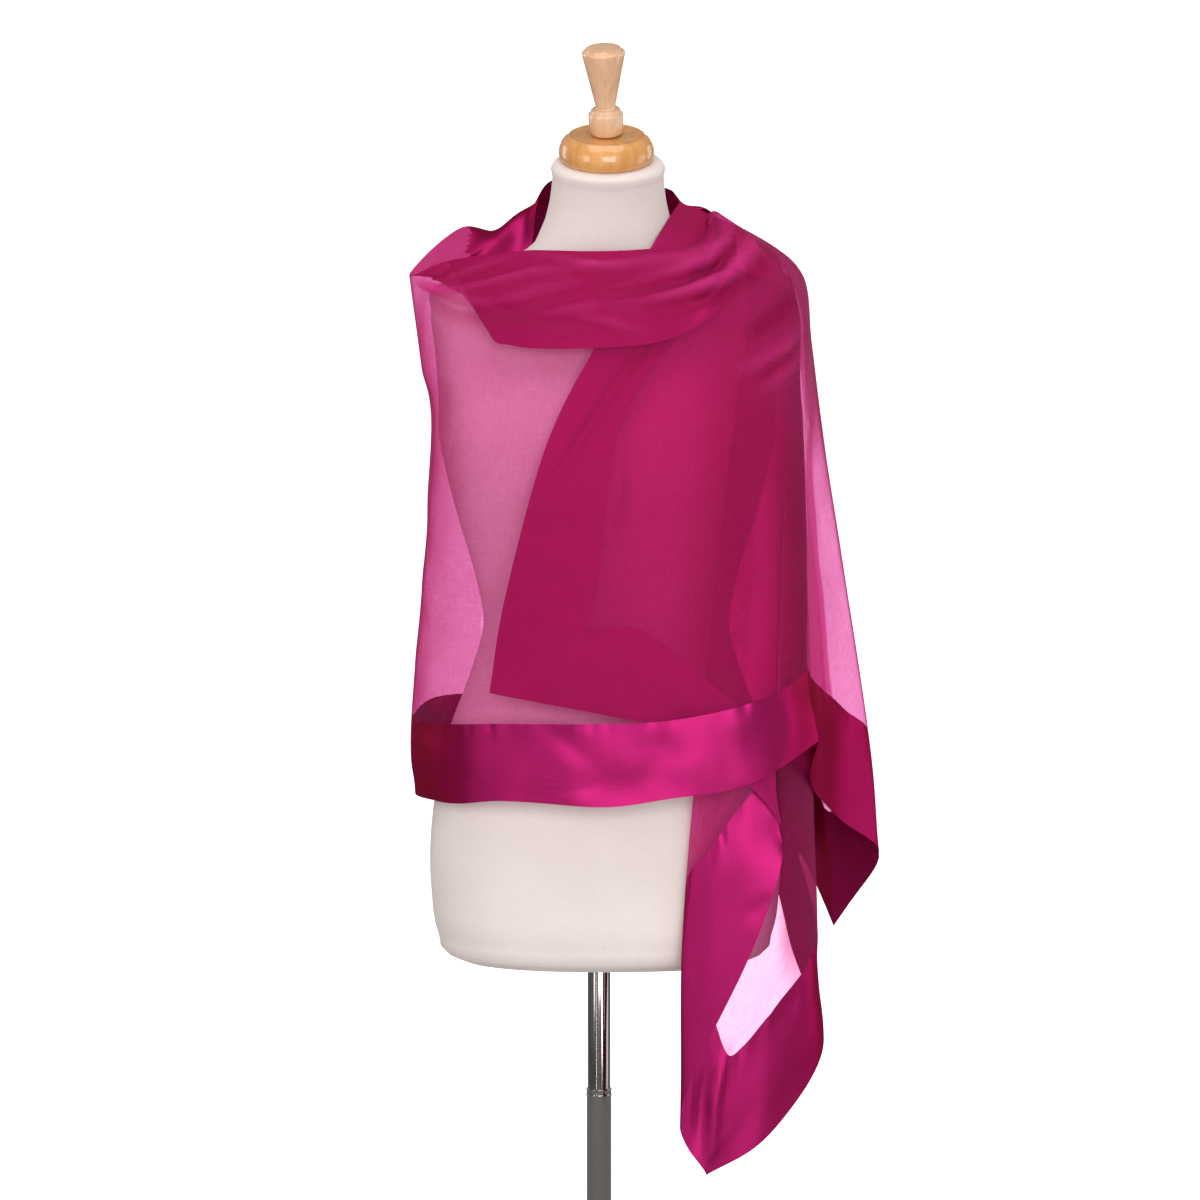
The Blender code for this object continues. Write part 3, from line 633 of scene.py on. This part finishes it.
def creaseHeight(grid, first, last, lines):
    # height of the creases over one layer, as a grid of mm
    rise = np.zeros(grid.shape[:2])
    start, end = placeOf(first) - creaseEnds["layer"], placeOf(last) + creaseEnds["layer"]
    columns = (places >= start) & (places <= end)
    seen = grid[:, columns][..., (0, 2)]
    total = np.zeros(seen.shape[:2])
    for line, width, height in lines:
        line = np.array(line, float)
        legs = np.linalg.norm(np.diff(line, axis=0), axis=1)
        starts = np.concatenate([[0], np.cumsum(legs)])
        best = np.full(seen.shape[:2], 1e9)
        along = np.zeros(seen.shape[:2])
        for k in range(len(legs)):
            a, leg = line[k], line[k + 1] - line[k]
            t = np.clip(((seen - a) @ leg) / legs[k] ** 2, 0, 1)
            gap = np.linalg.norm(seen - (a + t[..., None] * leg), axis=2)
            closer = gap < best
            best = np.where(closer, gap, best)
            along = np.where(closer, (starts[k] + t * legs[k]) / starts[-1], along)
        inward = along * (1 - 2 * creaseEnds["line"]) + creaseEnds["line"]
        fade = np.sin(np.pi * np.clip(inward, 0, 1)) ** creaseEnds["power"]
        total += height * np.exp(-(best / width) ** 2) * fade
    ends = np.minimum(places[columns] - start, end - places[columns])
    rise[:, columns] = total * ramp(ends, 0, 2 * creaseEnds["layer"])
    return rise


# Where the silk bunches: denser thread, with painted shade and painted highlight. Above 0 it is down in a
# fold and painted dark, below 0 on top of one and painted bright.
# Names ending in Across and Foot say where it starts and over how many mm it grows, across or up.
# Start and End say how far from a fall, and over how much of the way to the next.
bunchingAndPaintedShade = {
    "arm": 0.42,  # painted shade and denser thread under the image-right arm, above the tail
    "nearStart": (-0.3, 0.6),
    "nearEnd": (0, 0.4),
    "farStart": (0, 0.8),
    "farEnd": (-0.3, 0.8),
    "armAcross": (138, 34),
    "armFoot": (870, 90),
    "farArm": 0.3,  # share of that on the tail's far side
    "farFoot": (770, 90),
    "tail": 0.35,  # painted shade and denser thread down the tail's far side
    "tailBeyond": 0.5,  # and more beyond its far fall
    "beyondStart": (0, 0.6),
    "tailAcross": (168, 12),
    "tailFoot": (640, 60),
    "left": 0.4,  # painted shade and denser thread behind the image-left fold
    "rear": 0.35,  # painted shade and denser thread in the rear end's folds
    "shoulder": (-0.38, 0.8),  # round the arm: painted highlight in front of it, painted shade behind, denser thread in both
    "shoulderAcross": (60, 100),
    "shoulderFoot": (1165, 120),
    "pleatHighlight": -0.85,  # painted highlight and denser thread in a strip beside the front fold, widening as it falls
    "pleatTop": (200.0, 1225.0),  # across and up
    "pleatSlope": 0.095,
    "pleatLap": 3,
    "pleatEdge": 2,
    "pleatFade": 40,
    "inner": 0.35,  # painted shade and denser thread where the inner wrap closes towards the fold that hangs in front of it
    "innerTop": (142, 1338),
    "innerSlope": 0.11,
    "innerWidth": 45,
    "innerFoot": (880, 120),
    "edge": 1.0,  # a folded edge gets denser thread and painted shade, a thin dark line
    "edgeWidth": 5.0,
    "edgeHidden": (1090, 120),  # but not high up under the wrap
    "deepCrease": 8.0,  # mm of crease depth at which the cloth is fully gathered, with full painted shade in a valley and full painted highlight on a ridge
}


def gatherAndPaintShade(grid, rise):
    b = bunchingAndPaintedShade
    across, height = grid[..., 0], grid[..., 2]
    # painted shade down in each crease and painted highlight on its ridge, with denser thread in both
    foldDensityAndShade = -rise / b["deepCrease"]
    # painted shade and denser thread under the arm, above the tail, and at the image-left fold
    nearTurn = fallRamp("innerTurn", *b["nearStart"]) * (1 - fallRamp("corner", *b["nearEnd"]))
    farTurn = fallRamp("corner", *b["farStart"]) * (1 - fallRamp("backA", *b["farEnd"]))
    arm = nearTurn * ramp(height, *b["armFoot"]) + b["farArm"] * farTurn * ramp(height, *b["farFoot"])
    foldDensityAndShade += b["arm"] * arm * ramp(across, *b["armAcross"])
    tail = (b["tail"] + b["tailBeyond"] * fallRamp("far", *b["beyondStart"])) * farTurn
    foldDensityAndShade += tail * ramp(across, *b["tailAcross"]) * ramp(height, *b["tailFoot"])
    foldDensityAndShade += b["left"] * between("backD", "leftTurn")
    # painted shade and denser thread in the rear end's folds
    foldDensityAndShade += b["rear"] * between("rearCorner", "rearE")
    # the wrap is gathered where it goes round the image-right arm, painted bright in front of the arm and
    # dark behind it; below, a painted highlight strip with denser thread runs beside the front fold
    wrapped = ramp(height, *b["shoulderFoot"]) * ramp(across, *b["shoulderAcross"])
    wrapped *= between("frontD", "rearCorner")
    foldDensityAndShade += np.where(places < placeOf("frontTurn"), *b["shoulder"]) * wrapped
    pleatAcross, pleatUp = b["pleatTop"]
    pleatFar = pleatAcross + abs(pleatUp - height) * b["pleatSlope"]
    pleatNear = pleatAcross - b["pleatLap"]
    pleatHighlight = ramp(np.minimum(pleatFar - across, across - pleatNear), 0, b["pleatEdge"])
    pleatHighlight *= ramp(pleatUp - height, 0, b["pleatFade"])
    foldDensityAndShade += b["pleatHighlight"] * pleatHighlight * between("frontTurn", "rearD")
    # painted shade and denser thread on the inner wrap, closing towards the fold in front of it
    innerFold = b["innerTop"][0] - (b["innerTop"][1] - height) * b["innerSlope"]
    closingAndShade = ramp(across, innerFold - b["innerWidth"], b["innerWidth"]) * ramp(height, *b["innerFoot"])
    foldDensityAndShade += b["inner"] * closingAndShade * between("leadSeam", "innerB", 0.5)
    # a thin dark line of painted shade and denser thread along each folded edge, except high up under the
    # wrap
    hidden = (places < placeOf("corner")) * ramp(height, *b["edgeHidden"])
    foldDensityAndShade += b["edge"] * (1 - hidden) * np.exp(-(foldGap / b["edgeWidth"]) ** 2)
    return np.clip(foldDensityAndShade, -1, 1)


def noiseGrid(across, down, acrossScale, downScale, seed):
    return np.array([[noise.noise(Vector((x / acrossScale, y / downScale, seed))) for x in across]
                     for y in down])


folds = {
    "wave": 4.5,  # mm, long soft waves down the back and the rear fall
    "waveLength": 31.0,  # mm of cloth for each radian
    "waveRows": (2, 4),  # in columns: they grow towards the hem
    "waveStart": (0, 2),
    "waveEnd": (-1.5, 1.5),
    "uneven": ((3.1, 70.0, 1.3), (8.7, 30.0, 0.25)),  # seed, size and height in mm, all over
    "swell": 2.4,  # mm of extra unevenness in the stiffer satin
    "swellSize": (48.0, 60.0),
    "swellSeed": 5.5,
    "swellReach": 25,
    "puckers": ((2.0, 9.0, 1.5), (5.0, 21.0, 0.9)),  # the same, where the satin is sewn on
    "puckerReach": 9.0,
    "puckerPower": 1.3,
}


def addFolds(grid):
    normals = gridNormals(grid)
    outward = np.sign((normals[..., :2] * unit(grid[..., :2])).sum(axis=2))
    # one sign for each stretch between hairpins, so that a crease never flips inside one
    signs = np.ones(grid.shape[1])
    cuts = [0, placeOf("innerTurn"), placeOf("tailTurn"), len(falls) - 1]
    for a, b in zip(cuts, cuts[1:]):
        inside = (places >= a) & (places <= b)
        signs[inside] = 1.0 if outward[:, inside].sum() > 0 else -1.0
    rise = sum(creaseHeight(grid, *ends, lines) for ends, lines in creases.items())
    densityAndShade = gatherAndPaintShade(grid, rise)

    back = fallRamp("sideBack", *folds["waveStart"]) * (1 - fallRamp("leftTurn", *folds["waveEnd"]))
    wave = np.sin(run / folds["waveLength"]) * ramp(downs, *folds["waveRows"])[:, None]
    rise += folds["wave"] * wave * back[None, :]
    seamRow = sum(cloth["rows"][:4])
    seamRun, down = run[seamRow], runLength(grid, 0)
    for seed, size, height in folds["uneven"]:
        rise += height * noiseGrid(seamRun, down, size, size, seed)
    swell = noiseGrid(seamRun, down[seamRow:], *folds["swellSize"], folds["swellSeed"])
    inBand = ramp(down[seamRow:], down[seamRow], folds["swellReach"])[:, None]
    rise[seamRow:] += folds["swell"] * swell * inBand
    fromSeam = abs(down - down[seamRow])[:, None]
    atSeam = np.exp(-(fromSeam / folds["puckerReach"]) ** folds["puckerPower"])
    for seed, size, height in folds["puckers"]:
        rise += height * noiseGrid(seamRun, [seed], size, 1.0, 0.5) * atSeam
    rise *= np.clip(foldGap / cloth["foldReach"], 0, 1)
    return grid + normals * (rise * signs[None, :])[..., None], densityAndShade


# the second grid is thread density with painted fold shade and painted highlight
drape, foldDensityAndShade = addFolds(drape)
print("folds added")

topBand = {
    "rows": 18,
    # mm by which the band's top is set in from the solid's: across, back and up
    "insets": {"backD": (0.4, -0.4, 0.4), "backE": (1.2, -0.8, 0.8), "leftTurn": (4, 0, -1.5)},
    "frontInset": (0, 4, -1.5),
    "shoulderReach": 0.42,  # share of its width folded in at the image-left shoulder
    "narrowFalls": (0.4, 0.05, 0.12),  # from leftTurn to where it is narrow, and from frontA to its end
    "collarFold": 4.0,  # mm, soft folds along the collar
    "collarWaves": 3,
    "collarFront": 1.8,  # how much stronger they are at the image-right shoulder
    "meet": 6,  # how late the band turns over to meet the chiffon's own edge
    # denser thread and painted shade in the sheer part of the band at the image-left shoulder
    "sheerBunchAndShade": 0.5,
    "bandEnd": -132.0,  # mm across where the satin ends and only chiffon shows
}
frontFalls = ["front" + letter for letter in "ABCDEFG"]


def buildFlap():
    # the top band: upright behind the neck, and turned in behind the neckline's fold in front
    low, high = placeOf("backA"), placeOf("frontG")
    rows = falls[low - 1:high + 2]
    insets = {**topBand["insets"], **dict.fromkeys(frontFalls, topBand["frontInset"])}
    tops = np.array([row[3] for row in rows], float)
    tops += np.array([insets.get(row[0], (0, 0, 0)) for row in rows], float)
    rims = np.array([row[2] or (0, 0, 0) for row in rows], float)
    rims[0] = rims[1] + tops[0] - tops[1]
    rims[-1] = rims[-2] + tops[-1] - tops[-2]
    inside = (places >= low) & (places <= high)
    spots = places[inside]
    share = np.linspace(0, 1, topBand["rows"] + 1)
    grid = np.array([chainRow(rims + (tops - rims) * t, unit(tops - rims), low - 1, spots) for t in share])
    narrow = topBand["shoulderReach"]
    left, front = placeOf("leftTurn"), placeOf("frontA")
    closed, opens, full = topBand["narrowFalls"]
    reach = np.interp(spots, (left, left + closed, front + opens, front + full), (1, narrow, narrow, 1))
    grid = grid[-1] + (grid - grid[-1]) * reach[None, :, None]
    collar = np.interp(spots, (placeOf("backE"), left, placeOf("frontE"), placeOf("frontF")),
                       (1, 0, 0, topBand["collarFront"]))
    wave = (np.sin(share * topBand["collarWaves"] * math.pi) * np.sin(share * math.pi))[:, None] * collar
    grid += gridNormals(grid) * (topBand["collarFold"] * wave)[..., None]
    grid += (drape[0][inside] - grid[-1]) * share[:, None, None] ** topBand["meet"]
    return grid, inside


roll = {
    "radius": 10.0,  # mm
    "turn": 4.2,  # radians it turns through
    "steps": 17,
    "rowBelow": 3,  # the row of the chiffon that gives its direction
    "before": 0.25,  # falls before frontG where it starts
    "taper": 0.15,  # radians left at each end
    "taperPower": 0.7,
    "outward": (1.0, 0.0, 0.5),
    "weaveStart": 9.0,
    "flat": (0.15, 0.026),
}


def makeRoll():
    # the top edge rolled up on itself where the wrap goes over the image-right shoulder
    columns = np.where((places >= placeOf("frontG") - roll["before"]) & (places <= placeOf("rearE")))[0]
    edge = drape[0][columns]
    up = unit(edge - drape[roll["rowBelow"]][columns])
    out = gridNormals(drape)[0][columns]
    out *= np.sign((out * np.array(roll["outward"])).sum(axis=1))[:, None]
    swing = np.sin(np.linspace(roll["taper"], math.pi - roll["taper"], len(columns)))
    radius = roll["radius"] * swing[:, None] ** roll["taperPower"]
    grid = np.array([edge + radius * (math.sin(angle) * up + (math.cos(angle) - 1) * out)
                     for angle in np.linspace(roll["turn"], 0, roll["steps"])])
    makePiece("shoulderRoll", grid, [rolledChiffon], "rear_chiffon", roll["weaveStart"],
              roll["flat"])


flap, flapColumns = buildFlap()
print("top band laid out", flap.shape)

body = "figure"


def finishPiece(bm, name, materials, ridesOn, node):
    for face in bm.faces:
        face.smooth = True
    mesh = bpy.data.meshes.new(name)
    bm.to_mesh(mesh)
    bm.free()
    for material in materials:
        mesh.materials.append(material)
    piece = addObject(name, mesh)
    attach(piece, ridesOn)
    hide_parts(node)
    return piece


def makePiece(name, grid, materials, node, uvStart, flat, densityAndShadeGrid=None, choice=None):
    # a sheet from a grid of points, with its own weave coordinates in metres
    tall, wide = grid.shape[0] - 1, grid.shape[1] - 1
    bm = bmesh.new()
    bmesh.ops.create_grid(bm, x_segments=wide, y_segments=tall, size=0.5)
    points = (grid + np.array(formShift)) * mm
    across, down = runLength(points, 1), runLength(points, 0)
    layer = bm.loops.layers.uv.new("weave")
    # this layer carries denser thread, painted fold shade and painted highlight
    densityAndShade = bm.verts.layers.float.new("foldDensityAndShade")
    cellOf = {}
    for vert in bm.verts:
        j = round((vert.co.x + 0.5) * wide)
        i = round((vert.co.y + 0.5) * tall)
        cellOf[vert] = (i, j)
        vert[densityAndShade] = 0.0 if densityAndShadeGrid is None else densityAndShadeGrid[i][j]
        vert.co = points[i][j]
    for face in bm.faces:
        if choice is not None:
            face.material_index = int(choice[min(cellOf[v] for v in face.verts)])
        for loop in face.loops:
            i, j = cellOf[loop.vert]
            loop[layer].uv = (uvStart + across[j], down[i])
    piece = finishPiece(bm, name, materials, body, node)
    area = sum(face.area for face in piece.data.polygons)
    print("sheet", name, round(across[-1], 3), round(down[-1], 3), round(area / (flat[0] * flat[1]), 3))


top, seam, hem = 0, sum(cloth["rows"][:4]), sum(cloth["rows"])
# piece, node, first fall, last fall, upper row, lower row, flat size in metres
chiffonPieces = (
    ("innerChiffon", "inner_chiffon", "leadSeam", "innerTurn", top, seam, (0.16, 0.44)),
    ("tailNearChiffon", "tail_near_chiffon", "innerTurn", "tailTurn", top, seam, (0.085, 0.47)),
    ("tailFarChiffon", "tail_far_chiffon", "tailTurn", "side", top, seam, (0.15, 0.66)),
    ("backChiffon", "back_chiffon", "side", "leftTurn", top, seam, (0.58, 0.49)),
    ("frontChiffon", "front_chiffon", "leftTurn", "frontTurn", top, seam, (0.475, 0.47)),
    ("rearChiffon", "rear_chiffon", "frontTurn", "rearSeam", top, seam, (0.36, 0.5)),
)
satinPieces = (
    ("innerLeadBand", "inner_lead_band", "lead", "leadSeam", top, hem, (0.075, 0.52)),
    ("innerEndBand", "inner_end_band", "leadSeam", "innerTurn", seam, hem, (0.21, 0.085)),
    ("tailNearBand", "tail_near_band", "innerTurn", "tailTurn", seam, hem, (0.2, 0.088)),
    ("tailFarEndBand", "tail_far_end_band", "tailTurn", "corner", seam, hem, (0.11, 0.088)),
    ("tailFarHemBand", "tail_far_hem_band", "corner", "side", seam, hem, (0.16, 0.088)),
    ("backHemBand", "back_hem_band", "side", "leftTurn", seam, hem, (0.62, 0.088)),
    ("frontHemBand", "front_hem_band", "leftTurn", "frontTurn", seam, hem, (0.46, 0.088)),
    ("rearHemBand", "rear_hem_band", "frontTurn", "rearCorner", seam, hem, (0.29, 0.088)),
    ("rearEndBand", "rear_end_band", "rearCorner", "rearSeam", seam, hem, (0.25, 0.088)),
    ("rearTopBand", "rear_top_band", "rearSeam", "rearEdge", top, hem, (0.08, 0.54)),
)
weavePitch = 0.37  # metres of weave coordinates from one fall to the next


def cutOut(grid, first, last, upper, lower):
    columns = np.where((places >= placeOf(first)) & (places <= placeOf(last)))[0]
    return grid[upper:lower + 1, columns[0]:columns[-1] + 1]


# The form under the cloth
torsoShape = {
    "rings": 110, "steps": 128,
    "hemRound": 7.0, "hemRings": 6,  # mm of rings set closer together at the foot
    "neckTilt": 19.0,
    "neckTop": (3.0, -20.0, 1467.0),
    "bottom": 668.0,
}
# height, half width, depth in front, depth behind, squareness, lean of the ring
torsoSections = (
    (668, 142, -82, 86, 2.3, 0), (675, 158, -98, 102, 2.3, 0), (695, 168, -108, 114, 2.3, 0),
    (740, 175, -112, 117, 2.3, 0), (830, 172, -108, 114, 2.3, 0), (900, 157, -98, 104, 2.3, 0),
    (960, 135, -90, 90, 2.3, 0), (1005, 123, -86, 80, 2.3, 0), (1060, 132, -90, 84, 2.3, 0),
    (1110, 147, -99, 94, 2.3, 0), (1160, 160, -110, 102, 2.3, 0), (1190, 166.5, -112, 106, 2.3, 0),
    (1235, 168, -98, 110, 2.3, 0), (1280, 172, -78, 108, 2.3, 0), (1320, 176, -64, 98, 2.3, 0),
    (1342, 172.4, -56, 84, 2.3, 0), (1354, 146, -52, 74, 2.2, 0), (1366, 112, -50, 66, 2.1, 0),
    (1380, 80, -50, 58, 2.0, 4), (1400, 66.3, -52, 48, 2.0, 8), (1425, 58.2, -56, 38, 2.0, 13),
    (1450, 55, -64, 30, 2.0, 17), (1464, 54, -70, 29, 2.0, 19), (1467, 50, -66, 25, 2.0, 19),
)


def ringAt(table, slopes, height, angles):
    # one ring of the torso: a squared oval between two sections, tilted about its own width
    i = min(int(np.searchsorted(table[:, 0], height, side="right")) - 1, len(table) - 2)
    span = table[i + 1, 0] - table[i, 0]
    t = (height - table[i, 0]) / span
    size = hermite(table[i, 1:], slopes[i] * span, table[i + 1, 1:], slopes[i + 1] * span, t)
    halfWidth, front, behind = size[:3]
    shape, lean = table[i, 4:] * (1 - t) + table[i + 1, 4:] * t
    lean = math.radians(lean)
    c, s = np.cos(angles), np.sin(angles)
    x = halfWidth * np.copysign(abs(c) ** (2 / shape), c)
    y = (behind - front) / 2 * np.copysign(abs(s) ** (2 / shape), s)
    sideShift = torsoShape["neckTop"][0] * (height - table[0, 0]) / (table[-1, 0] - table[0, 0])
    return np.stack([x + sideShift, (front + behind) / 2 + y * math.cos(lean), height + y * math.sin(lean)],
                    axis=1)


def makeTorso():
    table = np.array(torsoSections, float)
    hemAngles = np.linspace(0, math.pi / 2, torsoShape["hemRings"])
    heights = np.unique(np.concatenate([
        table[:, 0], np.linspace(table[0, 0], table[-1, 0], torsoShape["rings"]),
        table[0, 0] + torsoShape["hemRound"] * (1 - np.cos(hemAngles))]))
    angles = np.arange(torsoShape["steps"]) * 2 * math.pi / torsoShape["steps"]
    slopes = np.gradient(table[:, 1:], table[:, 0], axis=0)
    rings = np.array([ringAt(table, slopes, height, angles) for height in heights])
    rings = (rings + np.array(formShift)) * mm
    bm = bmesh.new()
    bmesh.ops.create_circle(bm, cap_ends=True, segments=torsoShape["steps"], radius=1.0)
    bm.verts.ensure_lookup_table()
    order = sorted(bm.verts, key=lambda v: math.atan2(v.co.y, v.co.x) % (2 * math.pi))
    for vert, point in zip(order, rings[0]):
        vert.co = point
    edges = list(bm.edges)
    for ring in rings[1:]:
        made = bmesh.ops.extrude_edge_only(bm, edges=edges)["geom"]
        verts = {v for v in made if isinstance(v, bmesh.types.BMVert)}
        edges = [e for e in made if isinstance(e, bmesh.types.BMEdge) and set(e.verts) <= verts]
        # each new vertex follows the one below it
        follow = {e.other_vert(v): v for v in verts for e in v.link_edges if e.other_vert(v) not in verts}
        order = [follow[v] for v in order]
        for vert, point in zip(order, ring):
            vert.co = point
    bmesh.ops.holes_fill(bm, edges=edges, sides=0)
    bmesh.ops.recalc_face_normals(bm, faces=bm.faces)
    finishPiece(bm, "torso", [jersey], body, "form_body")


makeTorso()
print("torso ready")

turning = {"sharp": 28, "core": 4.0, "merge": 0.01, "bevelSegments": 3}  # degrees, mm, mm


def makeTurned(name, profile, steps, place, material, node, ridesOn, edge):
    # a turned piece from half its outline, radius and height in mm
    bm = bmesh.new()
    verts = [bm.verts.new((r * mm, 0, z * mm)) for r, z in profile]
    edges = [bm.edges.new(pair) for pair in zip(verts, verts[1:])]
    if profile[0][0] > 0:
        edges.append(bm.edges.new((verts[-1], verts[0])))
    bmesh.ops.spin(bm, geom=verts + edges, cent=(0, 0, 0), axis=(0, 0, 1), angle=2 * math.pi,
                   steps=steps, use_merge=True)
    bmesh.ops.remove_doubles(bm, verts=bm.verts, dist=turning["merge"] * mm)
    bmesh.ops.recalc_face_normals(bm, faces=bm.faces)
    # the arrises are eased, but not the point on the axis
    sharp = [e for e in bm.edges if len(e.link_faces) == 2
             and e.calc_face_angle() > math.radians(turning["sharp"])
             and min(math.hypot(v.co.x, v.co.y) for v in e.verts) > turning["core"] * mm]
    bmesh.ops.bevel(bm, geom=sharp, offset=edge * mm, offset_type="OFFSET", affect="EDGES",
                    segments=turning["bevelSegments"], profile=0.5, material=-1)
    bmesh.ops.transform(bm, matrix=place, verts=bm.verts)
    finishPiece(bm, name, [material], ridesOn, node)


neckWood = {
    "seat": 0.5,
    "shift": (-1.5, 0.0, 0.0),
    "knobLean": -2.3,
    "cap": ((0, 25.4), (34.6, 25.4), (35.2, 26), (36.8, 26), (38, 24.6), (41, 22.8), (44.4, 18.6),
            (46.8, 12.5), (47.3, 7.5), (46.2, 3), (44, 0), (0, 0)),
    "knob": ((0, 88), (16.4, 88), (17.4, 87), (17.4, 85.2), (20, 84.9), (21.2, 83.4), (20.8, 79.5),
             (15.2, 54), (9.8, 29), (9.8, 26.4), (13.4, 26.2), (14.8, 25), (14.8, 22.6), (16.2, 22.3),
             (17.2, 21), (17.1, 10), (16.2, 3), (14.4, 0), (0, 0)),
    "knobGap": 0.3,
    "steps": 96,
    "edge": 0.8,
}


def makeNeckWood():
    w = neckWood
    lean = Matrix.Rotation(math.radians(torsoShape["neckTilt"]), 4, "X")
    up = lean @ Vector((0, 0, 1))
    seat = Vector(torsoShape["neckTop"]) + formShift + Vector(w["shift"]) + up * w["seat"]
    makeTurned("neckCap", w["cap"], w["steps"], Matrix.Translation(seat * mm) @ lean, capWood, "neck_cap",
               body, w["edge"])
    tilt = math.radians(w["knobLean"])
    gap = w["knobGap"] + w["knob"][-2][0] * math.tan(abs(tilt))
    knobSeat = seat + up * (w["cap"][0][1] + gap)
    knobPlace = Matrix.Translation(knobSeat * mm) @ Matrix.Rotation(tilt, 4, "Y") @ lean
    makeTurned("neckKnob", w["knob"], w["steps"], knobPlace, knobWood, "neck_knob", body,
               w["edge"])


makeNeckWood()

stand = {
    "baseRadius": 170.0, "baseHeight": 14.0, "baseEdge": 4.0, "baseRim": 6.0, "baseSteps": 128,
    "baseArris": 0.6,
    "socketRadius": 21.0, "socketHeight": 40.0, "socketFloor": 6.0, "chamfer": 2.0, "fillet": 6.0,
    "outerTube": 12.5, "innerTube": 11.4, "clearance": 0.05, "outerTop": 535.0, "innerFoot": 200.0,
    "tubeSteps": 72, "tubeArris": 0.3,
    "gap": 0.3,
    "ringStep": 6.0, "ringRise": 0.4, "ringWidth": 2.5, "ringRound": 0.5,  # two rings turned in the tube
}


def makeStand():
    s = stand
    boss = s["baseHeight"] + s["socketHeight"]
    bore = s["outerTube"] + s["gap"]
    radius, socket, chamfer = s["baseRadius"], s["socketRadius"], s["chamfer"]
    plate = s["baseHeight"]
    makeTurned("baseDisc", (
        (0, s["socketFloor"]), (bore, s["socketFloor"]), (bore, boss), (socket - chamfer, boss),
        (socket, boss - chamfer), (socket, plate + s["fillet"]), (socket + s["fillet"], plate),
        (radius - s["baseEdge"], plate - chamfer), (radius, plate - chamfer - s["baseRim"]),
        (radius, chamfer), (radius - chamfer, 0), (0, 0)),
        s["baseSteps"], Matrix(), chrome, "base", "stand", s["baseArris"])

    outer, slide = s["outerTube"], s["innerTube"] + s["clearance"]
    rings = []
    for top in (s["outerTop"], s["outerTop"] - s["ringStep"]):
        raised, end = outer + s["ringRise"], top - s["ringWidth"]
        rings += [(outer, top), (raised, top - s["ringRound"]), (raised, end + s["ringRound"]), (outer, end)]
    foot = s["socketFloor"] + s["gap"]
    makeTurned("outerTube", ((slide, s["outerTop"]), *rings, (outer, foot), (slide, foot)),
               s["tubeSteps"], Matrix(), chrome, "pole_lower", "stand", s["tubeArris"])
    head = torsoShape["bottom"] - s["gap"]
    makeTurned("innerTube", (
        (0, head), (s["innerTube"], head), (s["innerTube"], s["innerFoot"]), (0, s["innerFoot"])),
        s["tubeSteps"], Matrix(), chrome, "pole_upper", body, s["tubeArris"])


makeStand()
print("stand ready")

for name, node, first, last, upper, lower, flat in chiffonPieces:
    sheer = doubledChiffon if name == "innerChiffon" else chiffon
    makePiece(name, cutOut(drape, first, last, upper, lower), [sheer], node,
              weavePitch * placeOf(first), flat, cutOut(foldDensityAndShade, first, last, upper, lower))
for name, node, first, last, upper, lower, flat in satinPieces:
    side = satinReverse if name in ("innerLeadBand", "innerEndBand") else satin
    makePiece(name, cutOut(drape, first, last, upper, lower), [side], node,
              weavePitch * placeOf(first), flat)

# at the image-left shoulder the fold lies in the chiffon, beyond the end of the band
flapPlaces = places[flapColumns]
sheerFrom, sheerTo = placeOf("backE") - 0.3, placeOf("frontA") + 0.1
collarFrom = placeOf("frontE") + 0.6  # the band shows its face again where it comes out as the collar
for name, node, first, last, flat in (
        ("backTopBand", "back_top_band", "backA", "leftTurn", (0.3, 0.082)),
        ("frontTopBand", "front_top_band", "leftTurn", "frontG", (0.33, 0.085))):
    columns = (flapPlaces >= placeOf(first)) & (flapPlaces <= placeOf(last))
    spots, band = flapPlaces[columns], flap[:, columns]
    sheer = (spots >= sheerFrom) & (spots < sheerTo) & (band[..., 0] < topBand["bandEnd"])
    choice = np.select([sheer, ~sheer & (spots >= sheerTo) & (spots < collarFrom)], [1, 2], 0)
    # the sheer part is denser and gets painted shade
    makePiece(name, band, [satin, doubledChiffon, satinReverse], node,
              weavePitch * placeOf(first), flat, topBand["sheerBunchAndShade"] * sheer, choice)
makeRoll()
print("cloth ready")
